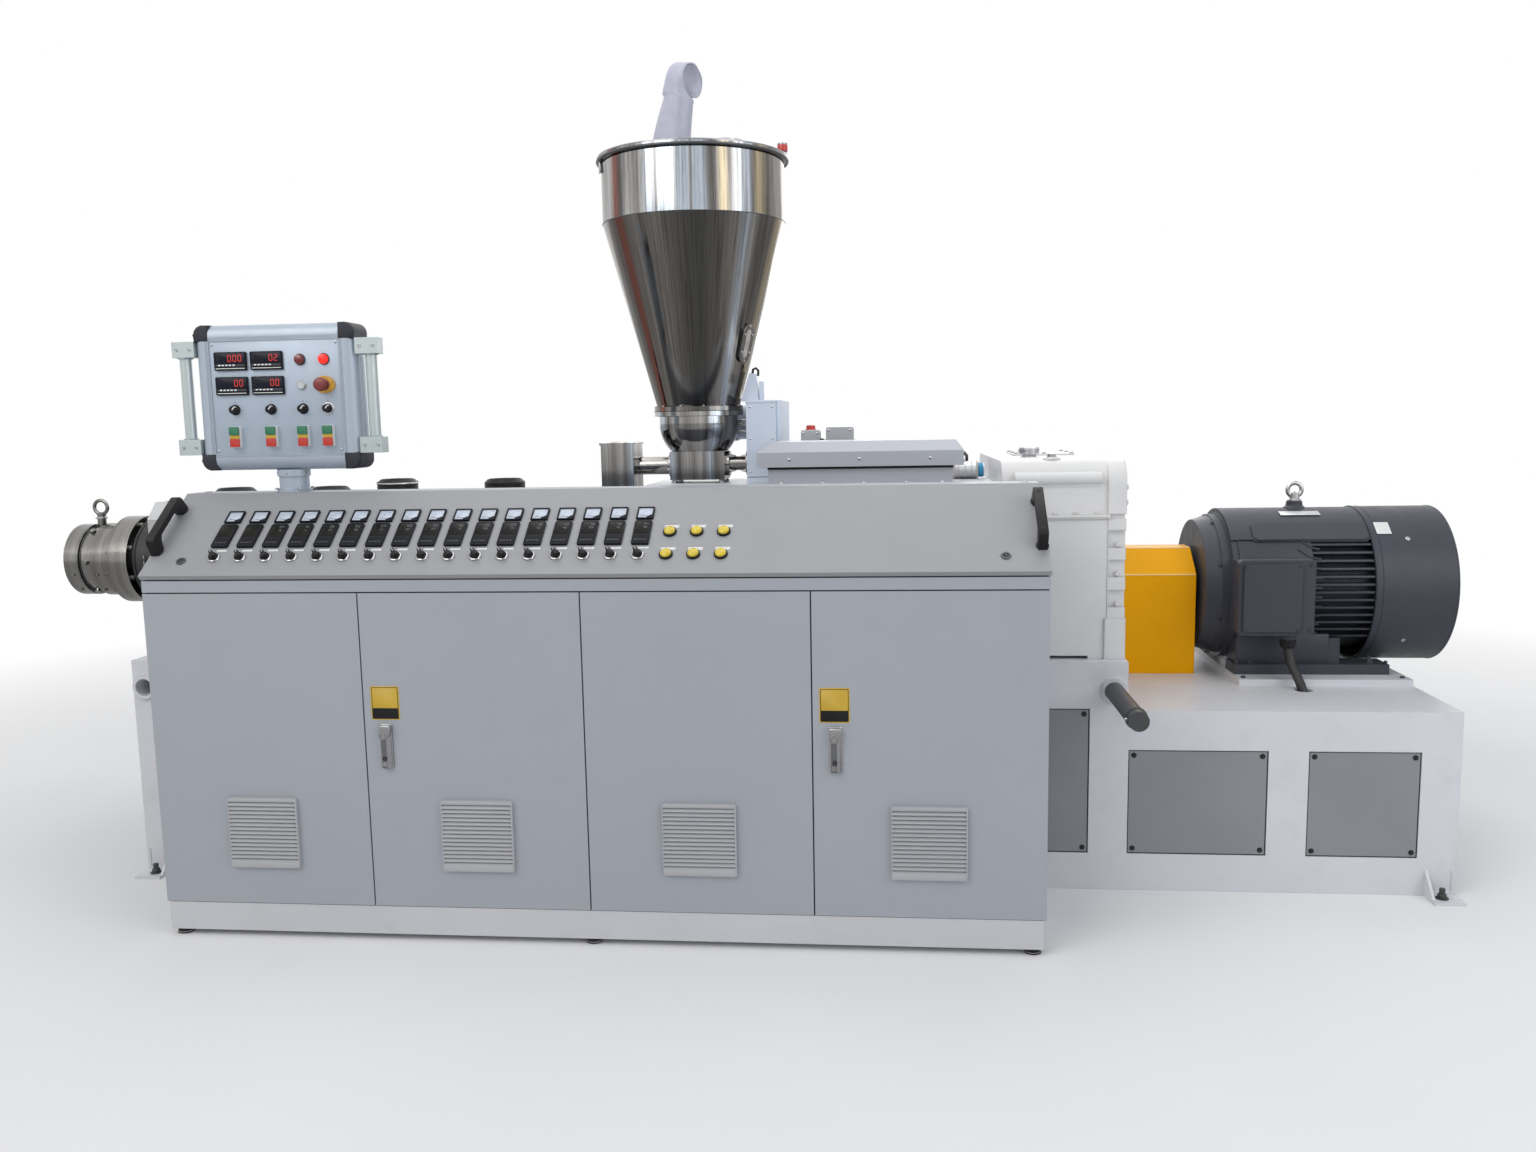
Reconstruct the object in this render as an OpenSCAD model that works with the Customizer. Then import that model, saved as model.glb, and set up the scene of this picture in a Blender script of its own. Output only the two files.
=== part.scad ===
// Plastic extruder: a conical twin screw machine on a welded base, with its electrical
// cabinet and console, hopper and feeder, gearbox, coupling guard and main motor.
// X runs along the screws towards the motor, Y runs to the back and Z is up.
// The origin is on the floor in the middle of the base, below the screw axis.

/* [Base] */
// Length of the base frame
base_len = 4470; // [4400:10:4600]
// Depth of the base frame
base_depth = 1150; // [1120:10:1250]
// Height of the base under the barrel and gearbox
base_high_h = 768; // [740:2:790]
// Height of the base under the motor
base_low_h = 608; // [580:2:640]
// Length of the low part of the base
drive_bed_len = 1042; // [1030:2:1060]
// Radius of the lifting bar
lift_r = 30; // [25:1:35]
// Length of the lifting bar outside the base
lift_out = 409; // [200:1:420]
// Distance of the lifting holes from the ends of the high part
lift_inset = 45; // [42:1:60]
// Depth of the lifting holes below the top of the high part
lift_drop = 95; // [80:1:120]
// Width of the post between two side panels
mullion = 130; // [110:1:150]
// Thickness of the plate that carries the motor
motor_plate_t = 22; // [15:1:30]

/* [Cabinet] */
// Length of the cabinet
cab_len = 2700; // [2660:10:2720]
// Depth of the cabinet
cab_depth = 400; // [380:10:420]
// Middle of the cabinet along X
cab_mid_x = -477; // [-500:1:-460]
// Front of the doors along Y
cab_front_y = -1106; // [-1140:1:-1100]
// Thickness of the sheet walls
sheet = 6; // [3:1:10]
// Height of the adjustable feet
foot_h = 20; // [10:1:30]
// Height of the plinth
plinth_h = 84; // [60:1:90]
// Height of a door
door_h = 968; // [940:1:990]
// Thickness of a door
door_t = 20; // [16:1:25]
// Gap round each door
door_gap = 4; // [3:0.5:6]
// Width and height of a filter grille
grille_w = 220; // [180:5:240]
// Height of a grille's lower edge above the door's lower edge
grille_lift = 118; // [80:1:150]

/* [Console] */
// Depth of the sloping console lid
lid_run = 297; // [285:1:305]
// Height that the lid climbs to the back
lid_rise = 231; // [220:1:240]
// Thickness of the lid
lid_t = 16; // [12:1:20]
// Distance between two columns of instruments
column_pitch = 81.75; // [78:0.25:84]
// Number of instrument columns
columns = 17; // [10:1:17]
// Width of a controller
controller_w = 52; // [44:1:56]
// Height of a controller
controller_h = 100; // [94:1:104]

/* [Operator box] */
// Width of the front plate
panel_w = 428; // [400:2:440]
// Height of the front plate
panel_h = 356; // [340:2:370]
// Depth of the box
panel_d = 106; // [90:2:112]
// Width of the aluminium profile round it
profile_w = 52; // [40:1:60]
// Radius of the post
post_r = 46; // [38:1:50]
// Length of the post under the box
post_h = 72; // [50:1:100]

/* [Barrel] */
// Height of the screw axis
screw_z = 1065; // [1050:1:1080]
// Length of the barrel
barrel_len = 2078; // [2040:2:2100]
// Radius of the barrel at the gearbox end
barrel_r0 = 150; // [140:1:155]
// Radius of the barrel at the outlet
barrel_r1 = 122; // [115:1:130]
// Number of heater bands
heaters = 5; // [3:1:6]
// Length of the die adapter
adapter_len = 247; // [235:1:270]
// Radius of the die adapter
adapter_r = 143; // [135:1:150]

/* [Drive] */
// Height of the motor shaft
shaft_z = 926; // [922:1:935]
// Distance of the motor shaft behind the screw axis
shaft_y = 170; // [160:1:180]
// Radius of the motor's fan cowl
cowl_r = 284; // [275:1:288]
// Length of the fan cowl
cowl_len = 281; // [250:1:300]
// Length of the finned motor frame
motor_len = 482; // [460:1:490]
// Length of the end bell on the coupling side
bell_len = 87; // [80:1:100]
// Number of cooling fins on each side
fins = 13; // [9:2:15]
// Length of the gearbox casting
gear_len = 340; // [320:2:350]
// Height of the gearbox over the base
gear_h = 652; // [630:1:670]
// Half of the coupling guard's width
guard_half = 156; // [145:1:165]

/* [Hopper] */
// Middle of the hopper along X
hopper_x = -283; // [-290:1:-276]
// Radius of the hopper's cylinder
hopper_r = 333; // [300:1:345]
// Height of the hopper's cylinder
hopper_cyl_h = 216; // [180:1:240]
// Height of the hopper's cone
hopper_cone_h = 659; // [600:1:700]
// Radius of the hopper's outlet
outlet_r = 154; // [140:1:158]
// Radius of the bowl under the hopper
bowl_r = 147.5; // [135:0.5:152]
// Thickness of the stainless steel
steel_t = 4; // [3:0.5:6]

/* [Hidden] */
$fn = 96;
eps = 0.5;
fit = 0.3;

base_x0 = -base_len / 2;
base_x1 = base_len / 2;
base_y0 = -base_depth / 2;
base_y1 = base_depth / 2;
step_x = base_x1 - drive_bed_len;
lift_gap = 0.3;
lift_z = base_high_h - lift_drop;
collar_r = lift_r + 12;
collar_t = 10;
panel_end = 123;
panel_z0 = 127;
high_panel_h = 484;
low_panel_h = 347;
low_panel_ws = [439, 343];
high_panels = 5;
pocket_d = 8;
panel_t = 5;
panel_gap = 2;

p3_x1 = base_x1 - panel_end;
p3_x0 = p3_x1 - low_panel_ws[1];
p2_x1 = p3_x0 - mullion;
p2_x0 = p2_x1 - low_panel_ws[0];
high_x0 = base_x0 + panel_end;
high_x1 = p2_x0 - mullion;
high_w = (high_x1 - high_x0 - (high_panels - 1) * mullion) / high_panels;
side_panels = concat(
    [for (i = [0 : high_panels - 1]) [high_x0 + i * (high_w + mullion), high_w, high_panel_h]],
    [[p2_x0, low_panel_ws[0], low_panel_h], [p3_x0, low_panel_ws[1], low_panel_h]]
);

motor_foot_len = 532;
motor_foot_x0 = base_x1 - 48 - motor_foot_len;
motor_foot_half = 275;
motor_foot_t = 36;
motor_plate_x0 = motor_foot_x0 - 7;
motor_plate_y0 = shaft_y - motor_foot_half - 86;
motor_z0 = base_low_h + motor_plate_t;
cable_hole = [1845, -262];
cable_hole_r = 30;
cable_r = 17;

foot_size = [95, 85, 10];
gusset_h = 85;
gusset_t = 10;

cab_x0 = cab_mid_x - cab_len / 2;
cab_x1 = cab_mid_x + cab_len / 2;
cab_back_y = cab_front_y + cab_depth;
cab_floor_z = foot_h + plinth_h + 5;
door_z0 = cab_floor_z + 2;
door_z1 = door_z0 + door_h;
door_w = cab_len / 4;
frame_y = cab_front_y + door_t + eps;
rail_z0 = door_z1 + door_gap;
rail_h = 35;
lid_lip = 14;
lid_over = 10;
lid_side = 3;
lid_front_y = cab_front_y - lid_over;
lid_back_y = lid_front_y + lid_run;
lid_front_z = rail_z0 + rail_h + 2.5 + lid_lip;
lid_back_z = lid_front_z + lid_rise;
lid_angle = atan2(lid_rise, lid_run);
lid_slope = lid_rise / lid_run;
lid_drop = lid_t / cos(lid_angle);
lid_gap = eps;
cab_top_z = lid_back_z;
plinth_inset = 6;

handle_inset = 66;
handle_size = [40, 140];
handle_lift = 505;
handle_z = door_z0 + handle_lift;

meter_s = 255;
meter_size = 52;
controller_s = 169.5;
switch_s = 77;
instrument_t = 7;
first_column_x = cab_x0 + 208;
button_xs = [1600, 1681, 1762];
button_ss = [77.5, 173.5];
lock_s = 63;
lock_inset = 109;
bow_inset = 18;
bow_s = [86, 310];
bow_w = 28;
bow_h = 58;

box_x = -1511;
post_x = -1495;
box_y0 = cab_back_y - panel_d - 2;
box_y = box_y0 + panel_d / 2;
box_z0 = cab_top_z + post_h;
plate_z0 = box_z0 + profile_w;
plate_z1 = plate_z0 + panel_h;
box_half = panel_w / 2 + profile_w;
plate_t = 3;
grip_r = 18;
grip_block = [74, 46, 50];

stand_x0 = -455;
stand_wide_x = 12;
stand_half = 243;
stand_wide_half = 456;
stand_h = 572;
stand_z1 = base_high_h + stand_h;
gear_end_x = step_x - 4;
gear_x1 = gear_end_x - 59;
gear_x0 = gear_x1 - gear_len;
gear_half = 520;
gear_pad = 10;
gear_z0 = base_high_h;
gear_z1 = base_high_h + gear_h;
gear_split_h = 462;
gear_split_z = gear_z0 + gear_split_h;
breather_at = [131, -100];

barrel_x1 = stand_x0;
barrel_x0 = barrel_x1 - barrel_len;
flange_t = 45;
throat_x = -580.5;
throat_wall = 20;
throat_h = 185;
throat_z0 = screw_z + throat_h;
throat_flange_t = 12;
duct_size = [123, 168];
duct_rim = 30;
duct_top = stand_z1 + 152;
feed_z = stand_z1 + 65;
feed_r = 34;
guard_x0 = -2340;
guard_x1 = -690;
guard_half_w = 250;
guard_z1 = screw_z + 235;
guard_z0 = guard_z1 - 450;
guard_leg = 50;
cap_xs = [-2123, -1737, -1465, -1040];
cap_hs = [40, 40, 66, 62];
cap_r = 76;
heater_gap = 60;
heater_t = 32;
heater_x0 = barrel_x0 + 60;
heater_x1 = throat_x - 140;
heater_len = (heater_x1 - heater_x0 - (heaters - 1) * heater_gap) / heaters;
support_x = heater_x0 + heater_len + heater_gap / 2;
support_w = heater_gap - 10;

trough_half = 102;
trough_depth = 75;
trough_foot = 12;
trough_z0 = stand_z1 + trough_foot;
trough_z1 = trough_z0 + 105;
bowl_z = trough_z1 + 103;
bowl_top = bowl_z + 27;
ring_r = outlet_r + 11.5;
ring_t = 17;
hopper_z0 = bowl_top + ring_t;
cone_z0 = hopper_z0 + ring_t;
cyl_z0 = cone_z0 + hopper_cone_h;
rim_z = cyl_z0 + hopper_cyl_h;
rim_t = 12;
rim_r = hopper_r + 15.5;
lid_z = rim_z + rim_t;
hopper_lid_t = 6;
cone_tilt = atan2(hopper_r - outlet_r, hopper_cone_h);
sight_z = cone_z0 + 224;
sight_turn = -28;
sight_size = [62, 142];

drive_x0 = -94;
drive_x1 = 16;
drive_y0 = -106;
drive_y1 = 300;
drive_h = 297;
drive_z1 = stand_z1 + drive_h;

motor_x0 = motor_foot_x0 - 10;
motor_x1 = motor_x0 + motor_len;
motor_core_r = 238;
motor_eye_in = 282;
pad_turn = 43;
motor_eye_x = motor_x0 + motor_eye_in;
fin_r = cowl_r - 6;
fin_t = 7;
fin_span = 330;

// Shared shapes

module block(x0, x1, y0, y1, z0, z1) {
    translate([x0, y0, z0]) cube([x1 - x0, y1 - y0, z1 - z0]);
}

module rod_x(r, x0, x1, y, z) {
    translate([x0, y, z]) rotate([0, 90, 0]) cylinder(r = r, h = x1 - x0);
}

module rod_y(r, y0, y1, x, z) {
    translate([x, y0, z]) rotate([-90, 0, 0]) cylinder(r = r, h = y1 - y0);
}

module rod_z(r, z0, z1, x, y) {
    translate([x, y, z0]) cylinder(r = r, h = z1 - z0);
}

// A YZ outline drawn as [y, z] points and extruded along X
module along_x(x0, x1) {
    translate([x0, 0, 0]) rotate([90, 0, 90]) linear_extrude(height = x1 - x0) children();
}

module rounded_square(w, h, r) {
    translate([r, 0]) square([w - 2 * r, h]);
    translate([0, r]) square([w, h - 2 * r]);
    for (x = [r, w - r])
        for (y = [r, h - r])
            translate([x, y]) circle(r = r);
}

module eye_ring(ring_r, wire_r) {
    rotate([90, 0, 0]) rotate_extrude() translate([ring_r, 0]) circle(r = wire_r);
}

// Places children on the console lid: x along the machine, y up the slope, z outwards
module on_lid() {
    translate([0, lid_front_y, lid_front_z]) rotate([lid_angle, 0, 0]) children();
}

// Base

module panel_pocket(p, side, grow, depth) {
    x0 = p[0] - grow;
    x1 = p[0] + p[1] + grow;
    z0 = panel_z0 - grow;
    z1 = panel_z0 + p[2] + grow;
    if (side < 0) block(x0, x1, base_y0 - 1, base_y0 + depth, z0, z1);
    else block(x0, x1, base_y1 - depth, base_y1 + 1, z0, z1);
}

module corner_foot() {
    cube(foot_size);
    translate([0, foot_size[1], 0]) rotate([90, 0, -90]) mirror([0, 0, 1])
        linear_extrude(height = gusset_t)
            polygon([[0, 0], [foot_size[1] - 10, 0], [0, gusset_h]]);
}

module base_frame() {
    color("white") {
        difference() {
            union() {
                block(base_x0, step_x, base_y0, base_y1, 0, base_high_h);
                block(step_x, base_x1, base_y0, base_y1, 0, base_low_h);
                block(motor_plate_x0, base_x1, motor_plate_y0, base_y1 - 30, base_low_h, motor_z0);
                for (x = [base_x0 + lift_inset, step_x - lift_inset])
                    rod_y(collar_r, base_y0 - collar_t, base_y1 + collar_t, x, lift_z);
            }
            for (p = side_panels)
                for (side = [-1, 1])
                    panel_pocket(p, side, panel_gap, pocket_d);
            for (x = [base_x0 + lift_inset, step_x - lift_inset])
                rod_y(lift_r + lift_gap, base_y0 - collar_t - 1, base_y1 + collar_t + 1, x, lift_z);
            rod_z(cable_hole_r, base_low_h - 60, base_low_h + 1, cable_hole[0], cable_hole[1]);
        }
        for (sx = [0, 1])
            for (sy = [0, 1])
                mirror([sx, 0, 0]) mirror([0, sy, 0])
                    translate([base_x1 - foot_size[0], base_y0 - foot_size[1], 0]) corner_foot();
    }
}

module base_panels() {
    color("gray")
        for (p = side_panels) {
            block(p[0], p[0] + p[1], base_y0 + pocket_d - panel_t, base_y0 + pocket_d,
                  panel_z0, panel_z0 + p[2]);
            block(p[0], p[0] + p[1], base_y1 - pocket_d, base_y1 - pocket_d + panel_t,
                  panel_z0, panel_z0 + p[2]);
        }
}

module lifting_bar() {
    color("dimgray") rod_y(lift_r, base_y0 - lift_out, base_y1 + lift_out, step_x - lift_inset, lift_z);
}

// Cabinet

module cabinet_plinth() {
    x0 = cab_x0 + plinth_inset;
    x1 = cab_x1 - plinth_inset;
    y0 = cab_front_y + 2;
    y1 = cab_back_y - plinth_inset;
    rail = 60;
    color("white") {
        difference() {
            block(x0, x1, y0, y1, foot_h, cab_floor_z);
            block(x0 + rail, x1 - rail, y0 + rail, y1 - rail, foot_h - 1, cab_floor_z + 1);
        }
        for (x = [x0 + rail / 2, (x0 + x1) / 2, x1 - rail / 2])
            for (y = [y0 + rail / 2, y1 - rail / 2])
                rod_z(24, 0, foot_h, x, y);
    }
}

// Outline of the cabinet's side wall in Y and Z
module side_outline() {
    slope_z = lid_front_z - lid_drop - lid_gap;
    polygon([
        [frame_y, cab_floor_z],
        [frame_y, rail_z0],
        [cab_front_y, rail_z0],
        [cab_front_y, rail_z0 + rail_h],
        [cab_front_y + 4, rail_z0 + rail_h],
        [cab_front_y + 4, slope_z + lid_slope * (lid_over + 4)],
        [lid_back_y + lid_gap, slope_z + lid_slope * (lid_run + lid_gap)],
        [lid_back_y + lid_gap, cab_top_z],
        [cab_back_y, cab_top_z],
        [cab_back_y, cab_floor_z]
    ]);
}

module cabinet_shell() {
    stile = 30;
    color("gainsboro") {
        for (x = [cab_x0, cab_x1 - sheet])
            along_x(x, x + sheet) side_outline();
        block(cab_x0, cab_x1, cab_back_y - sheet, cab_back_y, cab_floor_z, cab_top_z);
        block(cab_x0, cab_x1, frame_y, cab_back_y, cab_floor_z, cab_floor_z + sheet);
        block(cab_x0, cab_x1, lid_back_y + lid_gap, cab_back_y, cab_top_z - sheet, cab_top_z);
        // Rail over the doors, with the recess that the lid's lip closes on
        along_x(cab_x0, cab_x1) polygon([
            [frame_y, rail_z0 - 12],
            [frame_y, rail_z0],
            [cab_front_y, rail_z0],
            [cab_front_y, rail_z0 + rail_h],
            [frame_y + 20, rail_z0 + rail_h],
            [frame_y + 20, rail_z0 - 12]
        ]);
        // Stiles at the ends and between the two pairs of doors
        block(cab_x0, cab_x0 + stile, frame_y, frame_y + 12, cab_floor_z, rail_z0);
        block(cab_x1 - stile, cab_x1, frame_y, frame_y + 12, cab_floor_z, rail_z0);
        block(cab_mid_x - stile, cab_mid_x + stile, frame_y, frame_y + 12, cab_floor_z, rail_z0);
        block(cab_x0, cab_x1, frame_y, frame_y + 12, cab_floor_z, cab_floor_z + 24);
    }
}

module cabinet_plates() {
    plate_gap = 25;
    color("silver")
        for (i = [0, 1]) {
            x0 = cab_x0 + i * cab_len / 2 + 60;
            x1 = x0 + cab_len / 2 - 120;
            y1 = cab_back_y - sheet;
            block(x0, x1, y1 - plate_gap - 3, y1 - plate_gap, cab_floor_z + 60, rail_z0 - 40);
            for (x = [x0 + 40, x1 - 40])
                for (z = [cab_floor_z + 100, rail_z0 - 80])
                    rod_y(8, y1 - plate_gap, y1, x, z);
        }
}

function door_x0(i) = cab_x0 + (i - 1) * door_w + (i == 1 ? 0 : door_gap / 2);
function door_x1(i) = cab_x0 + i * door_w - (i == 4 ? 0 : door_gap / 2);
function door_mid(i) = cab_x0 + (i - 0.5) * door_w;

module door(i) {
    x0 = door_x0(i);
    x1 = door_x1(i);
    edge = 25;
    skin = 4;
    vent_edge = 20;
    vent_z = door_z0 + grille_lift;
    color("gainsboro") difference() {
        block(x0, x1, cab_front_y, cab_front_y + door_t, door_z0, door_z1);
        block(x0 + edge, x1 - edge, cab_front_y + skin, cab_front_y + door_t + 1,
              door_z0 + edge, door_z1 - edge);
        block(door_mid(i) - grille_w / 2 + vent_edge, door_mid(i) + grille_w / 2 - vent_edge,
              cab_front_y - 1, cab_front_y + skin + 1,
              vent_z + vent_edge, vent_z + grille_w - vent_edge);
    }
}

// Filter grille: a frame, a plain lower strip and a stack of sloping louvres
module grille(i) {
    x0 = door_mid(i) - grille_w / 2;
    z0 = door_z0 + grille_lift;
    grille_t = 12;
    border = 3;
    top_strip = 9;
    strip = 20;
    slats = 15;
    pitch = (grille_w - top_strip - strip) / slats;
    y1 = cab_front_y;
    color("whitesmoke") difference() {
        translate([x0, y1, z0]) rotate([90, 0, 0])
            linear_extrude(height = grille_t) rounded_square(grille_w, grille_w, 6);
        for (k = [0 : slats - 1]) {
            z = z0 + strip + k * pitch;
            along_x(x0 + border, x0 + grille_w - border) polygon([
                [y1 - grille_t - 1, z + 1],
                [y1 - grille_t - 1, z + pitch - 3],
                [y1 - 3, z + pitch - 3 + 5],
                [y1 - 3, z + pitch - 3]
            ]);
        }
    }
}

// Swing lever lock: an escutcheon, a lever that lies in it and the lock's barrel
module lock_handle(i) {
    x = door_x0(i) + handle_inset;
    z = handle_z;
    w = handle_size[0];
    h = handle_size[1];
    y = cab_front_y;
    color("silver") {
        translate([x - w / 2, y, z - h / 2]) rotate([90, 0, 0])
            linear_extrude(height = 8) rounded_square(w, h, 8);
        block(x - w / 2 + 4, x + w / 2 - 4, y - 30, y - 8, z + h / 2 - 42, z + h / 2 - 6);
        block(x - w / 2 + 10, x + w / 2 - 6, y - 24, y - 12, z - h / 2 + 10, z + h / 2 - 42);
        rod_y(9, y - 14, y - 8, x, z - h / 2 + 34);
    }
}

// Console

module console_lid() {
    color("gainsboro") along_x(cab_x0 - lid_side, cab_x1 + lid_side) polygon([
        [lid_front_y, lid_front_z],
        [lid_front_y + lid_t * sin(lid_angle), lid_front_z - lid_t * cos(lid_angle)],
        [lid_back_y, lid_back_z - lid_drop],
        [lid_back_y, lid_back_z]
    ]);
}

module lid_instruments() {
    color("dimgray") on_lid()
        for (k = [0 : columns - 1]) {
            x = first_column_x + k * column_pitch;
            translate([x - meter_size / 2, meter_s - meter_size / 2, 0])
                cube([meter_size, meter_size, instrument_t]);
            translate([x - controller_w / 2, controller_s - controller_h / 2, 0])
                cube([controller_w, controller_h, instrument_t]);
        }
}

module lid_switches() {
    color("dimgray") on_lid() {
        for (k = [0 : columns - 1])
            translate([first_column_x + k * column_pitch, switch_s, 0]) {
                cylinder(r = 19, h = 5);
                cylinder(r = 13, h = 15);
                translate([-5, -19, 5]) cube([10, 38, 17]);
            }
        for (x = button_xs)
            for (s = button_ss)
                translate([cab_x0 + x, s, 0]) {
                    cylinder(r = 20, h = 5);
                    cylinder(r = 16.5, h = 16);
                }
    }
}

// Bridge handle from the side: along the slope and away from the lid
module bow_outline() {
    a = bow_s[0];
    b = bow_s[1];
    grip_t = 18;
    foot = 36;
    polygon([
        [a, 0], [a + 6, bow_h - 14], [a + 20, bow_h], [b - 20, bow_h], [b - 6, bow_h - 14], [b, 0],
        [b - foot, 0], [b - foot - 8, bow_h - grip_t - 10], [b - foot - 20, bow_h - grip_t],
        [a + foot + 20, bow_h - grip_t], [a + foot + 8, bow_h - grip_t - 10], [a + foot, 0]
    ]);
}

module lid_handles() {
    color("black") on_lid() {
        for (x = [cab_x0 - lid_side + bow_inset, cab_x1 + lid_side - bow_inset]) {
            along_x(x - bow_w / 2, x + bow_w / 2) bow_outline();
        }
        for (x = [cab_x0 + lock_inset, cab_x1 - lock_inset - 11])
            translate([x, lock_s, 0]) cylinder(r = 14, h = 4);
    }
}

// Operator box

module operator_post() {
    color("gainsboro") {
        rod_z(post_r + 8, cab_top_z, cab_top_z + 8, post_x, box_y);
        rod_z(post_r, cab_top_z, box_z0, post_x, box_y);
        rod_z(post_r + 5, box_z0 - 22, box_z0, post_x, box_y);
    }
}

// Section of an aluminium profile: depth along x, height along y, rounded on top
module profile() {
    r = profile_w * 0.7;
    square([panel_d, profile_w - r]);
    translate([r, 0]) square([panel_d - 2 * r, profile_w]);
    for (x = [r, panel_d - r])
        translate([x, profile_w - r]) circle(r = r);
}

// The box seen from the front, in X and Z: a plate field with one corner piece
module corner_outline() {
    r = corner_r;
    square([profile_w, profile_w - r]);
    square([profile_w - r, profile_w]);
    translate([profile_w - r, profile_w - r]) circle(r = r);
}

corner_r = 30;
corner_back = 4;

module operator_box() {
    bar = panel_w / 2 + 2;
    side = panel_h / 2;
    plate_mid_z = (plate_z0 + plate_z1) / 2;
    color("lightsteelblue") {
        block(box_x - panel_w / 2, box_x + panel_w / 2, box_y0 + plate_t, box_y0 + panel_d,
              plate_z0, plate_z1);
        for (m = [0, 1])
            translate([0, 0, plate_mid_z]) mirror([0, 0, m]) translate([0, box_y0, panel_h / 2])
                along_x(box_x - bar, box_x + bar) profile();
        for (m = [0, 1])
            translate([box_x, 0, plate_mid_z]) mirror([m, 0, 0])
                translate([panel_w / 2, box_y0, -side]) mirror([1, -1, 0])
                    linear_extrude(height = 2 * side) profile();
    }
    // Moulded corner pieces
    color("darkslategray")
        for (mx = [0, 1])
            for (mz = [0, 1])
                translate([box_x, box_y0 + corner_back, plate_mid_z])
                    mirror([mx, 0, 0]) mirror([0, 0, mz])
                        translate([panel_w / 2, panel_d - 2 * corner_back, panel_h / 2])
                            rotate([90, 0, 0]) linear_extrude(height = panel_d - 2 * corner_back)
                                corner_outline();
}

display_x = [48, 168];
display_z = [310, 232];
display_size = [106, 58];
knob_x = [74, 195, 301, 383];
knob_z = 182;
pair_z = 98;
lamp_x = [300, 379];
lamp_z = 336;
stop_z = 256;

module operator_controls() {
    x0 = box_x - panel_w / 2;
    y = box_y0 + plate_t;
    color("dimgray") {
        for (x = display_x)
            for (z = display_z)
                block(x0 + x - 30, x0 + x - 30 + display_size[0], y - 8, y, plate_z0 + z - 46,
                      plate_z0 + z - 46 + display_size[1]);
        for (x = knob_x) {
            rod_y(17, y - 5, y, x0 + x, plate_z0 + knob_z - 42);
            rod_y(12, y - 24, y - 5, x0 + x, plate_z0 + knob_z - 42);
            block(x0 + x - 16, x0 + x + 16, y - 22, y, plate_z0 + pair_z - 76, plate_z0 + pair_z - 12);
        }
        for (x = lamp_x)
            rod_y(17, y - 18, y, x0 + x, plate_z0 + lamp_z - 42);
        rod_y(15, y - 10, y, x0 + lamp_x[0], plate_z0 + stop_z - 42);
        rod_y(32, y - 14, y, x0 + lamp_x[1], plate_z0 + stop_z - 42);
        rod_y(21, y - 52, y - 14, x0 + lamp_x[1], plate_z0 + stop_z - 42);
    }
}

module operator_grips() {
    b = grip_block;
    y0 = box_y0 + 4;
    color("lightgray")
        for (sx = [-1, 1]) {
            xa = box_x + sx * (box_half + b[0] / 2);
            for (z = [plate_z0 - 2, plate_z1 - b[2] + 2])
                translate([xa - b[0] / 2, y0, z]) cube(b);
            rod_z(grip_r, plate_z0 - 2 + b[2], plate_z1 - b[2] + 2, xa + sx * 6, y0 + b[1] / 2);
        }
}

// Barrel

module barrel() {
    w = duct_size[0] / 2 + throat_wall;
    d = duct_size[1] / 2 + throat_wall;
    color("dimgray") difference() {
        union() {
            translate([barrel_x0, 0, screw_z]) rotate([0, 90, 0])
                cylinder(r1 = barrel_r1, r2 = barrel_r0, h = barrel_len);
            rod_x(barrel_r0 + 34, barrel_x1 - flange_t, barrel_x1, 0, screw_z);
            rod_x(barrel_r1 + 48, barrel_x0, barrel_x0 + 40, 0, screw_z);
            block(throat_x - w, throat_x + w, -d, d, screw_z, throat_z0);
        }
        block(throat_x - w + throat_wall, throat_x + w - throat_wall,
              -d + throat_wall, d - throat_wall, screw_z + 60, throat_z0 + 1);
    }
}

function barrel_r(x) = barrel_r1 + (barrel_r0 - barrel_r1) * (x - barrel_x0) / barrel_len;

module barrel_bore(x0, x1) {
    translate([x0, 0, screw_z]) rotate([0, 90, 0])
        cylinder(r1 = barrel_r(x0) + fit, r2 = barrel_r(x1) + fit, h = x1 - x0);
}

module heater_bands() {
    len = heater_len;
    clamp = 45;
    color("darkslategray")
        for (k = [0 : heaters - 1]) {
            x0 = heater_x0 + k * (len + heater_gap);
            mid = x0 + len / 2;
            r = barrel_r(x0 + len) + heater_t;
            difference() {
                union() {
                    rod_x(r, x0, x0 + len, 0, screw_z);
                    block(mid - clamp, mid + clamp, -30, 30, screw_z + r - 12, screw_z + r + 26);
                }
                barrel_bore(x0 - 1, x0 + len + 1);
            }
        }
}

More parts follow.
